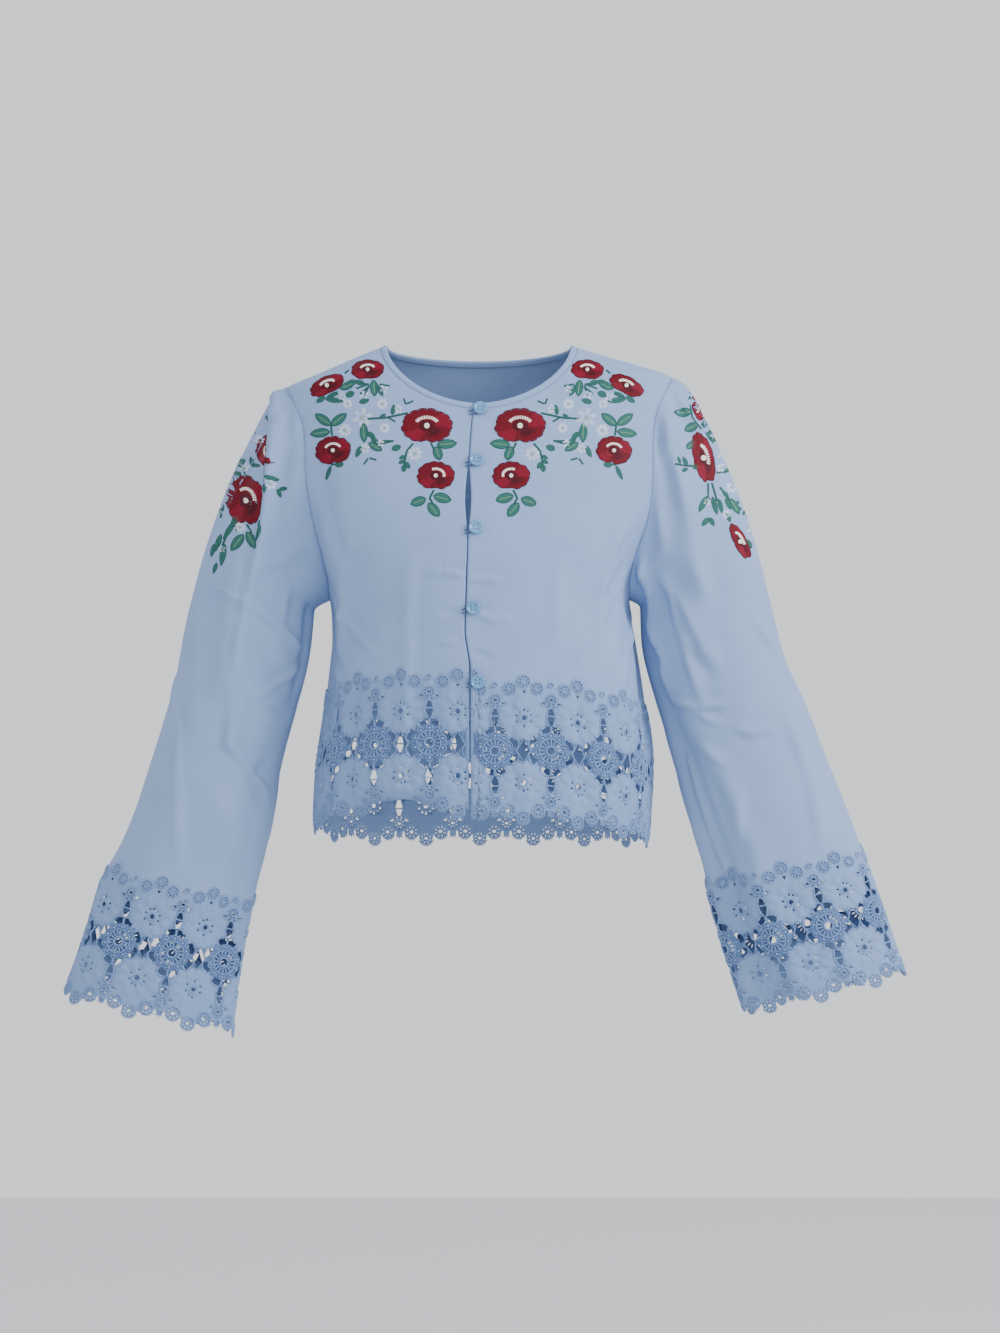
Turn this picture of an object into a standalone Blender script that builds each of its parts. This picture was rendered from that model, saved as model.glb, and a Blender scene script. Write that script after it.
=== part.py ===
"""Embroidered folk blouse with a lace hem and lace cuffs, in the form it takes when worn.

Metres, +Z up. The front faces -Y. The origin lies midway between the two high neck points,
where the wearer's shoulders carry it. Wearer's right is at -X.
"""
import bmesh
import bpy
import numpy as np
from mathutils import Matrix, Vector
from mathutils.geometry import delaunay_2d_cdt

MM = 0.001

# Driving sizes
CLOTH_WALL = 1.2 * MM
LACE_WALL = 1.3 * MM
SEAM_GAP = 0.3 * MM
SIDE_GAP = 0.8 * MM         # at seams whose walls lean together on the inside
NECK_HALF = 92 * MM
NECK_DROP_FRONT = 63 * MM
NECK_DROP_BACK = 10 * MM
NECK_POWER = 1.8
BINDING_WIDTH = 5 * MM
BINDING_WALL = 1.8 * MM
SHOULDER_HALF = 190 * MM
SHOULDER_HEIGHT = -36 * MM
UNDERARM_HEIGHT = -254 * MM
ARMHOLE_DEPTH = 56 * MM     # how far the armhole reaches forwards and backwards
SHOULDER_TILT = 5 * MM      # the wearer's right shoulder lies lower by this, the left one higher
SQUARENESS = 2.35
SLEEVE_SQUARENESS = 2.1
SLEEVE_HEAD = 95 * MM       # run from the armhole seam to the first regular sleeve section
HEAD_GATHERS = 5            # gathers over the top of each sleeve head
HEAD_GATHER_DEPTH = 2.2 * MM
LACE_PITCH = 56 * MM
LACE_TOP = 62 * MM          # lowest places of the lace's scalloped top, above its wheel row
LACE_PEAK = 72 * MM         # scallop tips above and below the wheel row
LACE_BOTTOM = 62 * MM       # highest places of the lower edge, below the wheel row
SCALLOP = (1, 0.3, 0, 0.3, 1)    # share of a scallop's height at the quarters of a repeat
CUFF_REPEATS = 7
CUFF_SECTION = 8            # row of the sleeve tables that carries the cuff's wheel row
HEM_CURL_RADIUS = 12 * MM   # the wearer's right front hem rolls under in part
HEM_CURL_START = -41 * MM
HEM_CURL_MIDDLE = np.radians(-38)
HEM_CURL_REACH = np.radians(24)
CLOTH_STEP = 28 * MM        # spacing of the body cloth's mesh
SLEEVE_COLUMNS = 28         # four for each repeat of the cuff lace
NECK_STEPS = 12
BUTTON_HOLE_RADIUS = 0.8 * MM
BUTTON_HOLE_REACH = 1.7 * MM    # each hole's middle, across and up from the button's middle
BUTTON_STAND = 2.2 * MM     # underside of a button above what it lies on
LOOP_RADIUS = 0.7 * MM
FLAT_RADIUS = 150 * MM      # radius that turns an angle round the body into a flat length


def table(columns, *rows):
    """Rows under named columns: _deg columns in degrees, the others in millimetres."""
    values = np.array(rows, dtype=float)
    return {name: np.radians(values[:, i]) if name.endswith("_deg") else values[:, i] * MM
            for i, name in enumerate(columns.split())}


# Body rings: half-widths to the wearer's right and left, and depths, at each height
BODY = table(
    "height right left front back",
    (0, 92, 92, 34, 50),
    (-12, 126, 126, 43, 61),
    (-24, 159, 159, 51, 70),
    (-36, 190, 190, 58, 77),
    (-50, 198, 198, 64, 84),
    (-80, 200, 200, 77, 95),
    (-110, 198, 198, 90, 103),
    (-145, 191, 191, 104, 109),
    (-180, 180, 180, 116, 111),
    (-215, 165, 165, 124, 111),
    (-254, 149, 151, 127, 110),
    (-290, 146, 156, 128, 111),
    (-325, 149, 161, 128, 113),
    (-360, 153, 166, 128, 115),
    (-395, 158, 172, 127, 117),
    (-440, 163, 172, 127, 119),
    (-475, 164, 170, 126, 119),
    (-520, 162, 166, 125, 118),
)

# Height of the lace's wheel row round the wearer's right and left side, 0 degrees at the centre front
WHEEL_ROW = table(
    "round_deg right left",
    (0, -395, -402), (30, -394, -402), (60, -401, -416), (90, -415, -429), (120, -430, -433),
    (180, -434, -434),
)

# Where the two front edges meet, from the neck to the hem
OPENING = table(
    "height middle gap",
    (0, -4.5, 0.6), (-64, -5.2, 0.6), (-90, -7.3, 0.7), (-120, -9.2, 0.8), (-159, -9.8, 3.0),
    (-192, -10, 0.8), (-230, -11, 0.7), (-266, -12, 0.7), (-292, -12.2, 0.7), (-308, -9.6, 0.8),
    (-319, -8.1, 0.9), (-335, -8, 1.0), (-405, -8, 1.0), (-520, -8, 1.0),
)

# Largest folds of the body, from one end to the other
BODY_FOLDS = table(
    "from_deg from_height to_deg to_height width depth",
    (-68, -130, -78, -260, 16, -6),
    (-58, -180, -66, -310, 14, 3),
    (-80, -270, -70, -420, 15, -4),
    (-40, -330, -44, -480, 20, 3),
    (66, -170, 80, -275, 15, -7),
    (52, -230, 62, -400, 18, 3.5),
    (84, -280, 76, -430, 14, -5),
    (28, -300, 33, -480, 22, -3),
    (118, -200, 112, -480, 20, -5),
    (140, -150, 136, -440, 22, 4),
    (168, -220, 164, -500, 24, -4),
    (-112, -210, -108, -490, 20, -5),
    (-133, -180, -138, -460, 23, 4),
    (-160, -250, -163, -500, 22, -4),
)

# Sleeve sections: outer and inner edge, forward shift of the middle, and depths
SLEEVE_RIGHT = table(
    "out_x out_z in_x in_z middle front back",
    (-281, -231, -165, -266, -2, 52, 52),
    (-291, -271, -169, -306, -4, 53, 52),
    (-303, -334, -183, -366, -7, 53, 51),
    (-315, -379, -195, -411, -9, 52, 49),
    (-329, -424, -204, -457, -11, 50, 47),
    (-342, -464, -211, -499, -13, 48, 45),
    (-357, -499, -220, -534, -14, 45, 43),
    (-370, -522, -225, -556, -15, 43, 41),
    (-390, -583, -237, -616, -17, 39, 37),
    (-415, -654, -246, -692, -19, 36, 34),
)
SLEEVE_LEFT = table(
    "out_x out_z in_x in_z middle front back",
    (282, -220, 161, -262, -2, 52, 52),
    (292, -261, 163, -302, -4, 53, 52),
    (306, -314, 176, -354, -7, 53, 51),
    (324, -355, 190, -398, -9, 52, 49),
    (345, -410, 204, -444, -11, 50, 47),
    (363, -455, 217, -488, -13, 48, 45),
    (379, -498, 228, -524, -14, 45, 43),
    (385, -514, 231, -542, -15, 43, 41),
    (401, -560, 247, -600, -17, 39, 37),
    (425, -630, 269, -670, -19, 36, 34),
)

# Largest sleeve folds: 0 degrees faces forwards, 90 outwards; the run starts at section one
SLEEVE_FOLDS_RIGHT = table(
    "from_deg from_run to_deg to_run width depth",
    (64, -86, 18, -34, 11, 6),
    (18, -34, 4, 150, 13, 6),
    (88, -78, 44, -30, 11, -4),
    (44, -30, 26, 110, 13, -5),
    (35, 75, 20, 320, 15, 4),
    (-50, 110, -44, 430, 16, -6),
    (-20, 60, -62, 100, 12, -4),
    (10, 190, -50, 240, 14, 3),
    (150, -40, 165, 210, 18, -5),
    (-150, 40, -160, 440, 18, -6),
    (110, 130, 128, 480, 18, 4),
)
SLEEVE_FOLDS_LEFT = table(
    "from_deg from_run to_deg to_run width depth",
    (46, -84, -4, -30, 11, 5),
    (-4, -30, -14, 60, 13, 6),
    (60, -84, 28, -30, 9, -4),
    (-62, 60, -40, 520, 15, -9),
    (-40, 60, -18, 470, 14, 5),
    (10, 320, 22, 470, 12, 3),
    (-85, 140, -72, 520, 14, 5),
    (150, -40, 165, 210, 18, -5),
    (-150, 40, -160, 440, 18, -6),
    (110, 130, 128, 480, 18, 4),
)

# Lace gaps of one repeat, measured from the wheel
LACE_GAPS = table(
    "across up half_width half_height lean",
    (28, 0, 6, 10.8, 0),
    (19, 7.5, 3.4, 3.6, 2.6), (-19, 7.5, 3.4, 3.6, -2.6), (19, -7.5, 3.4, 3.6, -2.6), (-19, -7.5, 3.4, 3.6, 2.6),
    (5.6, 20.3, 3.7, 2.9, -0.5), (-5.6, 20.3, 3.7, 2.9, 0.5),
    (5.6, -20.3, 3.7, 2.9, 0.5), (-5.6, -20.3, 3.7, 2.9, -0.5),
)
RIGHT_FRONT_FLOWER = -10.5 * MM    # flower column nearest the opening, along each front's lace
LEFT_FRONT_FLOWER = 1 * MM
RIGHT_CUFF_FLOWER = 15 * MM        # flower column nearest the cuff's front, towards its outer side
LEFT_CUFF_FLOWER = -8 * MM

# Heights of the buttons on the wearer's left front edge
BUTTONS = table("height", (-69,), (-121,), (-187,), (-264,), (-335,))
BUTTON_INSET = 6.5 * MM

# Button from its middle on top, over the raised rim, to its middle underneath
BUTTON_PROFILE = table(
    "radius height",
    (0, 1.9), (4.3, 1.9), (5.2, 2.6), (6.3, 2.6), (6.75, 1.9), (6.2, 0), (0, 0),
)

# Path of a loop round its button's stem, from the wearer's right front edge and back
LOOP_PATH = table(
    "across up",
    (-11, -5.5), (-7, -5), (-3, -4.4), (0, -3.9), (2.4, -2.8), (3.6, 0), (2.4, 2.4), (0, 2.8),
    (-3, 1.2), (-7, -0.8), (-11, -2.4),
)

# Colours (linear) and roughness
MATERIALS = {
    "cloth": ((0.34, 0.47, 0.63, 1), 0.85),
    "lace": ((0.31, 0.44, 0.60, 1), 0.8),
    "button": ((0.25, 0.42, 0.58, 1), 0.25),
    "thread": ((0.30, 0.44, 0.60, 1), 0.6),
}


def curve_through(x, xs, ys):
    """Smooth curve through a table: cubic between rows, slopes from the neighbours."""
    order = np.argsort(xs)
    xs, ys = xs[order], ys[order]
    x = np.clip(np.asarray(x, dtype=float), xs[0], xs[-1])
    slopes = np.gradient(ys, xs)
    i = np.clip(np.searchsorted(xs, x) - 1, 0, len(xs) - 2)
    width = xs[i + 1] - xs[i]
    t = (x - xs[i]) / width
    return ((2 * t**3 - 3 * t**2 + 1) * ys[i] + (t**3 - 2 * t**2 + t) * width * slopes[i]
            + (3 * t**2 - 2 * t**3) * ys[i + 1] + (t**3 - t**2) * width * slopes[i + 1])


def soft_step(x):
    """Soft ramp from 0 to 1."""
    x = np.clip(x, 0, 1)
    return x * x * (3 - 2 * x)


def unit(vectors):
    """Vectors scaled to length one."""
    return vectors / np.maximum(np.linalg.norm(vectors, axis=-1, keepdims=True), 1e-12)


def oval(angle, across, depth, power):
    """Distance from the middle of a squared oval at an angle from its front."""
    return (np.abs(np.cos(angle) / depth) ** power + np.abs(np.sin(angle) / across) ** power) ** (-1 / power)


def fold_offset(flat, run, folds, scale, place):
    """Ridges and troughs of a fold table at surface places, as an offset outwards."""
    total = np.zeros(np.broadcast(flat, run).shape)
    for k in range(len(folds["width"])):
        start = np.array([folds["from_deg"][k] * scale, folds["from_" + place][k]])
        way = np.array([folds["to_deg"][k] * scale, folds["to_" + place][k]]) - start
        along = np.clip(((flat - start[0]) * way[0] + (run - start[1]) * way[1]) / (way @ way), 0, 1)
        gap = np.hypot(flat - start[0] - along * way[0], run - start[1] - along * way[1])
        taper = 0.35 + 0.65 * np.sin(np.pi * along)
        total = total + folds["depth"][k] * taper * np.exp(-(gap / folds["width"][k]) ** 2)
    return total


def moved_out(surface, u, v, out, way=1):
    """Points of surface(u, v) moved along its normal; way is -1 where u and v make it point inwards."""
    step = 0.5 * MM
    turn = step / FLAT_RADIUS
    across = surface(u + turn, v) - surface(u - turn, v)
    up = surface(u, v + step) - surface(u, v - step)
    return surface(u, v) + unit(np.cross(across, up)) * way * np.reshape(out, np.shape(out) + (1,))


# Body surface

def ring_sizes(height, side):
    """Half-width on the given side, front depth and back depth at a height."""
    half = np.where(side < 0, curve_through(height, BODY["height"], BODY["right"]),
                    curve_through(height, BODY["height"], BODY["left"]))
    return (half, curve_through(height, BODY["height"], BODY["front"]),
            curve_through(height, BODY["height"], BODY["back"]))


def plain_body(angle, height):
    """Body surface without folds."""
    angle, height = np.broadcast_arrays(np.asarray(angle, float), np.asarray(height, float))
    half, front, back = ring_sizes(height, np.sin(angle))
    reach = oval(angle, half, np.where(np.cos(angle) >= 0, front, back), SQUARENESS)
    x, y = reach * np.sin(angle), -reach * np.cos(angle)
    tilt = np.sign(x) * soft_step((np.abs(x) - NECK_HALF) / (SHOULDER_HALF - NECK_HALF))
    tilt = tilt * SHOULDER_TILT * soft_step((height - UNDERARM_HEIGHT) / (SHOULDER_HEIGHT - UNDERARM_HEIGHT))
    return np.stack([x, y, height + tilt], axis=-1)


def body(angle, height):
    """Body surface with its folds, which fade out towards the shoulders."""
    turned = (np.asarray(angle, float) + np.pi) % (2 * np.pi) - np.pi
    folds = fold_offset(turned * FLAT_RADIUS, height, BODY_FOLDS, FLAT_RADIUS, "height")
    return moved_out(plain_body, angle, height, folds)


def angle_at(x, height, front=True):
    """Angle round the body of the place at x on the front or the back."""
    half, front_depth, back_depth = ring_sizes(height, x)
    depth = front_depth if front else -back_depth
    share = np.clip(1 - (np.abs(x) / half) ** SQUARENESS, 0, 1) ** (1 / SQUARENESS)
    return np.arctan2(x, depth * share)


def neck_edge(turn, width, front):
    """Neckline at `width` below its edge: turn runs from 0 at the shoulder to 90 degrees at the middle."""
    half = NECK_HALF + width
    top = curve_through(half, BODY["left"][:4], BODY["height"][:4])
    drop = (NECK_DROP_FRONT if front else NECK_DROP_BACK) + width + top
    x = half * np.sign(np.cos(turn)) * np.abs(np.cos(turn)) ** (2 / NECK_POWER)
    return x, top - drop * np.abs(np.sin(turn)) ** (2 / NECK_POWER)


def armhole(turn, side):
    """Armhole seam as angle and height: turn is 0 at the front, 90 degrees at the shoulder tip."""
    middle = (SHOULDER_HEIGHT + UNDERARM_HEIGHT) / 2
    height = middle + (SHOULDER_HEIGHT - middle) * np.sin(turn)
    half, front, back = ring_sizes(height, np.full(np.shape(turn), side))
    y = ARMHOLE_DEPTH * np.cos(turn)
    depth = np.where(y >= 0, front, back)
    x = half * (1 - (np.abs(y) / depth) ** SQUARENESS) ** (1 / SQUARENESS)
    return np.arctan2(side * x, y), height


# Sleeve surface

def sleeve_section(side, round_angle, run):
    """Regular part of a sleeve at a run below section one."""
    rows = SLEEVE_RIGHT if side < 0 else SLEEVE_LEFT
    middle = np.stack([rows["out_x"] + rows["in_x"], rows["out_z"] + rows["in_z"]]) / 2
    runs = np.concatenate([[0], np.cumsum(np.hypot(*np.diff(middle, axis=1)))])
    size = {name: curve_through(run, runs, values) for name, values in rows.items()}
    below = np.minimum(run, 0)
    first = unit((middle[:, 1] - middle[:, 0])[None, :])[0]
    reach = oval(round_angle, 1, 1, SLEEVE_SQUARENESS)
    out, ahead = reach * np.sin(round_angle), reach * np.cos(round_angle)
    x = (size["out_x"] + size["in_x"]) / 2 + out * (size["out_x"] - size["in_x"]) / 2 + below * first[0]
    z = (size["out_z"] + size["in_z"]) / 2 + out * (size["out_z"] - size["in_z"]) / 2 + below * first[1]
    y = size["middle"] - ahead * np.where(ahead >= 0, size["front"], size["back"])
    return np.stack(np.broadcast_arrays(x, y, z), axis=-1)


def section_run(side, row):
    """Run from section one to a row of the sleeve's table."""
    rows = SLEEVE_RIGHT if side < 0 else SLEEVE_LEFT
    middle = np.stack([rows["out_x"] + rows["in_x"], rows["out_z"] + rows["in_z"]]) / 2
    return np.sum(np.hypot(*np.diff(middle, axis=1))[:row])


def sleeve_start(side, round_angle):
    """Start points of the sleeve beside the armhole seam, and the way it leaves them."""
    step = 0.02
    seam = body(*armhole(round_angle, side))
    along = body(*armhole(round_angle + step, side)) - body(*armhole(round_angle - step, side))
    angle, height = armhole(round_angle, side)
    normal = unit(moved_out(body, angle, height, np.full(np.shape(angle), MM)) - seam)
    beyond = unit(np.cross(normal, along))
    centre = np.mean(body(*armhole(np.linspace(0, 2 * np.pi, 24, endpoint=False), side)), axis=0)
    beyond = beyond * np.sign(np.sum(beyond * (centre - seam), axis=-1, keepdims=True))
    bend = np.radians(30 + 120 * ((1 - np.sin(round_angle)) / 2) ** 2.2)[..., None]
    return seam + beyond * SIDE_GAP, np.cos(bend) * beyond + np.sin(bend) * normal


def plain_sleeve(side, round_angle, run):
    """Sleeve surface without folds: a curved head down to section one, then the sections."""
    round_angle, run = np.broadcast_arrays(np.asarray(round_angle, float), np.asarray(run, float))
    regular = sleeve_section(side, round_angle, np.maximum(run, 0))
    t = np.clip(1 + run / SLEEVE_HEAD, 0, 1)[..., None]
    start, leave = sleeve_start(side, round_angle)
    end = sleeve_section(side, round_angle, 0 * run)
    arrive = unit(sleeve_section(side, round_angle, 0 * run + 5 * MM) - end)
    span = np.linalg.norm(end - start, axis=-1, keepdims=True)
    head = ((2 * t**3 - 3 * t**2 + 1) * start + (t**3 - 2 * t**2 + t) * 0.35 * span * leave
            + (3 * t**2 - 2 * t**3) * end + (t**3 - t**2) * span * arrive)
    return np.where((run < 0)[..., None], head, regular)


def sleeve(side, round_angle, run):
    """Sleeve surface with its folds and the gathers of its head."""
    def plain(u, v):
        return plain_sleeve(side, u, v)

    folds = SLEEVE_FOLDS_RIGHT if side < 0 else SLEEVE_FOLDS_LEFT
    turned = (round_angle + np.pi) % (2 * np.pi) - np.pi
    radius = 55 * MM
    offset = fold_offset(turned * radius, run, folds, radius, "run")
    over_top = soft_step((np.sin(turned) - 0.25) / 0.5)
    near_seam = soft_step((run + SLEEVE_HEAD) / (10 * MM)) * soft_step((-30 * MM - run) / (30 * MM))
    offset = offset * soft_step((run + SLEEVE_HEAD) / (18 * MM))
    offset = offset + HEAD_GATHER_DEPTH * over_top * near_seam * np.cos(2 * HEAD_GATHERS * turned)
    return moved_out(plain, round_angle, run, offset, -side)


# Lace surfaces

def wheel_row(angle):
    """Height of the hem lace's wheel row at an angle round the body."""
    turned = (np.asarray(angle, float) + np.pi) % (2 * np.pi) - np.pi
    return np.where(turned < 0, curve_through(np.abs(turned), WHEEL_ROW["round_deg"], WHEEL_ROW["right"]),
                    curve_through(np.abs(turned), WHEEL_ROW["round_deg"], WHEEL_ROW["left"]))


def hem(angle, rise):
    """Body surface by the rise above the wheel row; part of the wearer's right front rolls under."""
    turned = (np.asarray(angle, float) + np.pi) % (2 * np.pi) - np.pi
    share = soft_step(1.3 - 1.3 * np.abs(turned - HEM_CURL_MIDDLE) / HEM_CURL_REACH)
    curve = np.maximum(share, 0.01) / HEM_CURL_RADIUS
    below = np.maximum(HEM_CURL_START - rise, 0)
    down, inward = np.sin(below * curve) / curve, (1 - np.cos(below * curve)) / curve
    point = body(angle, wheel_row(angle) + np.maximum(rise, HEM_CURL_START) - down)
    towards = unit(point * np.array([1, 1, 0]))
    return point - towards * inward[..., None]


def cuff(side, round_angle, rise):
    """Sleeve surface by the rise above the cuff's wheel row."""
    return sleeve(side, round_angle, section_run(side, CUFF_SECTION) - rise)


def arc_angles(points_at, length, reference):
    """Angles at lengths along a ring, measured from a reference angle."""
    angles = np.linspace(-1.5 * np.pi, 2.5 * np.pi, 1441)
    points = points_at(angles)
    run = np.concatenate([[0], np.cumsum(np.linalg.norm(np.diff(points, axis=0), axis=1))])
    return np.interp(np.interp(reference, angles, run) + length, run, angles)


def ring_length(points_at, start, end):
    """Length of a ring between two angles."""
    points = points_at(np.linspace(start, end, 721))
    return np.sum(np.linalg.norm(np.diff(points, axis=0), axis=1))


def quarters(start, end, flower, pitch):
    """Lengths of a lace band's quarter repeats between two ends, with the ends."""
    first = int(np.ceil((start + 2 * MM - flower) / (pitch / 4)))
    last = int(np.floor((end - 2 * MM - flower) / (pitch / 4)))
    return np.concatenate([[start], flower + pitch / 4 * np.arange(first, last + 1), [end]])


def scallop(length, flower, pitch):
    """Share of the scallops' height at a length along the lace."""
    return np.interp(((length - flower) / pitch) % 1, np.linspace(0, 1, 5), SCALLOP)


def lace_top(length, flower, pitch):
    """Rise of the lace's upper edge above the wheel row."""
    return LACE_TOP + (LACE_PEAK - LACE_TOP) * scallop(length, flower, pitch)


# Mesh making

def evenly(start, end, step):
    """Evenly spaced values from start to end, no further apart than step."""
    return np.linspace(start, end, max(2, int(np.ceil(abs(end - start) / step)) + 1))


def joined(*runs):
    """One closed outline of (u, v) runs, whose shared end points appear once."""
    points = np.concatenate([np.stack(np.broadcast_arrays(*run), axis=-1)[:-1] for run in runs])
    return points


def within(points, outline):
    """Whether each point lies inside an outline."""
    a, b = outline, np.roll(outline, -1, axis=0)
    p = points[:, None, :]
    crosses = (a[:, 1] > p[..., 1]) != (b[:, 1] > p[..., 1])
    rise = np.where(b[:, 1] == a[:, 1], 1, b[:, 1] - a[:, 1])
    left = p[..., 0] < a[:, 0] + (p[..., 1] - a[:, 1]) * (b[:, 0] - a[:, 0]) / rise
    return np.sum(crosses & left, axis=1) % 2 == 1


def inside(points, outline, margin):
    """The points that lie inside an outline and at least margin away from it."""
    start, way = outline, np.roll(outline, -1, axis=0) - outline
    p = points[:, None, :]
    share = np.sum((p - start) * way, axis=-1) / np.maximum(np.sum(way * way, axis=-1), 1e-12)
    gap = np.linalg.norm(p - start - np.clip(share, 0, 1)[..., None] * way, axis=-1).min(axis=1)
    return points[within(points, outline) & (gap > margin)]


def staggered_grid(outline, step, margin):
    """Evenly spread points inside an outline."""
    low, high = outline.min(axis=0), outline.max(axis=0)
    rows = np.arange(low[1] + step / 2, high[1], step * 0.87)
    points = [(x + step / 2 * (k % 2), y) for k, y in enumerate(rows) for x in np.arange(low[0], high[0], step)]
    return inside(np.array(points), outline, margin)


def filled(outline, holes, inner):
    """Triangles that fill a flat outline round its holes, through the inner points."""
    points, edges = [], []
    for loop in [outline] + holes:
        edges += [(len(points) + i, len(points) + (i + 1) % len(loop)) for i in range(len(loop))]
        points += [Vector(point) for point in loop]
    points += [Vector(point) for point in inner]
    corners, _, faces, *_ = delaunay_2d_cdt(points, edges, [], 1, 1e-7)
    corners = np.array(corners)
    middles = np.array([corners[face].mean(axis=0) for face in faces])
    in_hole = np.zeros(len(faces), dtype=bool)
    for hole in holes:
        in_hole |= within(middles, hole)
    return corners, [face for face, cut in zip(faces, in_hole) if not cut]


def add_sheet(name, points, faces, wall, kind, flip=False):
    """An open surface, thickened inwards, as a named object."""
    mesh = bpy.data.meshes.new(name)
    mesh.from_pydata(points.tolist(), [], [face[::-1] if flip else face for face in faces])
    part = add_part(name, mesh, kind)
    solid = part.modifiers.new("wall", "SOLIDIFY")
    solid.thickness = wall
    solid.offset = -1
    return part


def add_part(name, mesh, kind):
    """A mesh as a named object of the blouse with its material."""
    part = bpy.data.objects.new(name, mesh)
    blouse.objects.link(part)
    if not mesh.materials:
        mesh.materials.append(material(kind))
    return part


def material(kind):
    """A Principled material with the colour and roughness of one of the blouse's stuffs."""
    if kind in bpy.data.materials:
        return bpy.data.materials[kind]
    made = bpy.data.materials.new(kind)
    made.use_nodes = True
    shader = made.node_tree.nodes["Principled BSDF"]
    shader.inputs["Base Color"].default_value, shader.inputs["Roughness"].default_value = MATERIALS[kind]
    return made


# Body panels

def flat_height(height):
    """Height stretched over the shoulders, where the cloth runs sideways."""
    slope = np.hypot(SHOULDER_HALF - NECK_HALF, SHOULDER_HEIGHT) / -SHOULDER_HEIGHT
    return np.where(height > SHOULDER_HEIGHT, SHOULDER_HEIGHT + (height - SHOULDER_HEIGHT) * slope, height)


def true_height(flat):
    """Height from its stretched form."""
    slope = np.hypot(SHOULDER_HALF - NECK_HALF, SHOULDER_HEIGHT) / -SHOULDER_HEIGHT
    return np.where(flat > SHOULDER_HEIGHT, SHOULDER_HEIGHT + (flat - SHOULDER_HEIGHT) / slope, flat)


def seam_angle(height, side, half_turn):
    """Side or shoulder seam of the front (half_turn -1) or the back (1), half a gap from its middle."""
    half = ring_sizes(height, side)[0]
    return np.pi / 2 + half_turn * SIDE_GAP / 2 / half


def body_panel(name, outline):
    """A cloth panel of the body from its outline of angles and heights."""
    flat = np.stack([outline[:, 0] * FLAT_RADIUS, flat_height(outline[:, 1])], axis=-1)
    corners, faces = filled(flat, [], staggered_grid(flat, CLOTH_STEP, CLOTH_STEP * 0.45))
    points = body(corners[:, 0] / FLAT_RADIUS, true_height(corners[:, 1]))
    add_sheet(name, points, faces, CLOTH_WALL, "cloth")


def opening_x(height, side):
    """The front edge of one side at a height."""
    middle = curve_through(height, OPENING["height"], OPENING["middle"])
    return middle + side * curve_through(height, OPENING["height"], OPENING["gap"])


def centre_turn(side, width, x):
    """Turn along the front neckline at which it meets a front edge."""
    share = side * x / (NECK_HALF + width)
    return np.arccos(np.sign(share) * np.abs(share) ** (NECK_POWER / 2))


def body_row(angle):
    """The hem lace's wheel row on the body."""
    return body(angle, wheel_row(angle))


def front_edge(side):
    """Angle of a front's edge on the wheel row."""
    height = wheel_row(0.01 * side)
    return angle_at(opening_x(height, side), height)


def front_lengths(side):
    """Lengths of a front's lace quarters from the opening to the side seam."""
    edge, seam = front_edge(side), side * np.pi / 2
    width = ring_length(body_row, min(edge, seam), max(edge, seam)) - SIDE_GAP / 2
    flower = LEFT_FRONT_FLOWER if side > 0 else RIGHT_FRONT_FLOWER
    return quarters(min(0, side * width), max(0, side * width), flower, LACE_PITCH), flower


def hem_line(lengths, reference, flower):
    """Lower edge of the body cloth, just above the lace: angles and heights."""
    angles = arc_angles(body_row, lengths, reference)
    return angles, wheel_row(angles) + lace_top(lengths, flower, LACE_PITCH) + SIDE_GAP


def make_front(name, side):
    """One front: centre edge, neckline, shoulder, armhole, side seam and lower edge."""
    neck_turn = np.linspace(centre_turn(side, BINDING_WIDTH, opening_x(-NECK_DROP_FRONT, side)), 0, NECK_STEPS)
    neck_x, neck_z = neck_edge(neck_turn, BINDING_WIDTH, True)
    low_angle, low_z = hem_line(front_lengths(side)[0], front_edge(side), front_lengths(side)[1])
    if side > 0:
        low_angle, low_z = low_angle[::-1], low_z[::-1]
    centre_z = evenly(low_z[-1], neck_z[0], CLOTH_STEP)
    shoulder_z = evenly(neck_z[-1], SHOULDER_HEIGHT, 6 * MM)
    hole_angle, hole_z = armhole(np.linspace(np.pi / 2, -np.pi / 2, SLEEVE_COLUMNS // 2 + 1), side)
    hole_angle = side * np.minimum(side * hole_angle, seam_angle(hole_z, side, -1))
    side_z = evenly(UNDERARM_HEIGHT, low_z[0], CLOTH_STEP)
    body_panel(name, joined(
        (angle_at(opening_x(centre_z, side), centre_z), centre_z),
        (angle_at(side * neck_x, neck_z), neck_z),
        (side * seam_angle(shoulder_z, side, -1), shoulder_z),
        (hole_angle, hole_z),
        (side * seam_angle(side_z, side, -1), side_z),
        (low_angle, low_z),
    ))


def back_lengths():
    """Lengths of the back's lace quarters from its middle to both side seams."""
    before, after = ring_length(body_row, np.pi / 2, np.pi), ring_length(body_row, np.pi, 1.5 * np.pi)
    return quarters(SIDE_GAP / 2 - before, after - SIDE_GAP / 2, 0, LACE_PITCH)


def half_back(side, side_low):
    """Side seam, armhole, shoulder and neckline of one half of the back, from the hem to the middle."""
    side_z = evenly(side_low, UNDERARM_HEIGHT, CLOTH_STEP)
    hole_angle, hole_z = armhole(np.linspace(-np.pi / 2, -1.5 * np.pi, SLEEVE_COLUMNS // 2 + 1), side)
    hole_angle = side * np.maximum(side * hole_angle, seam_angle(hole_z, side, 1))
    neck_x, neck_z = neck_edge(np.linspace(0, np.pi / 2, NECK_STEPS), BINDING_WIDTH, False)
    shoulder_z = evenly(SHOULDER_HEIGHT, neck_z[0], 6 * MM)
    runs = [
        (side * seam_angle(side_z, side, 1), side_z),
        (hole_angle, hole_z),
        (side * seam_angle(shoulder_z, side, 1), shoulder_z),
        (angle_at(side * neck_x, neck_z, False), neck_z),
    ]
    return [(angle % (2 * np.pi), height) for angle, height in runs]


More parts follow.
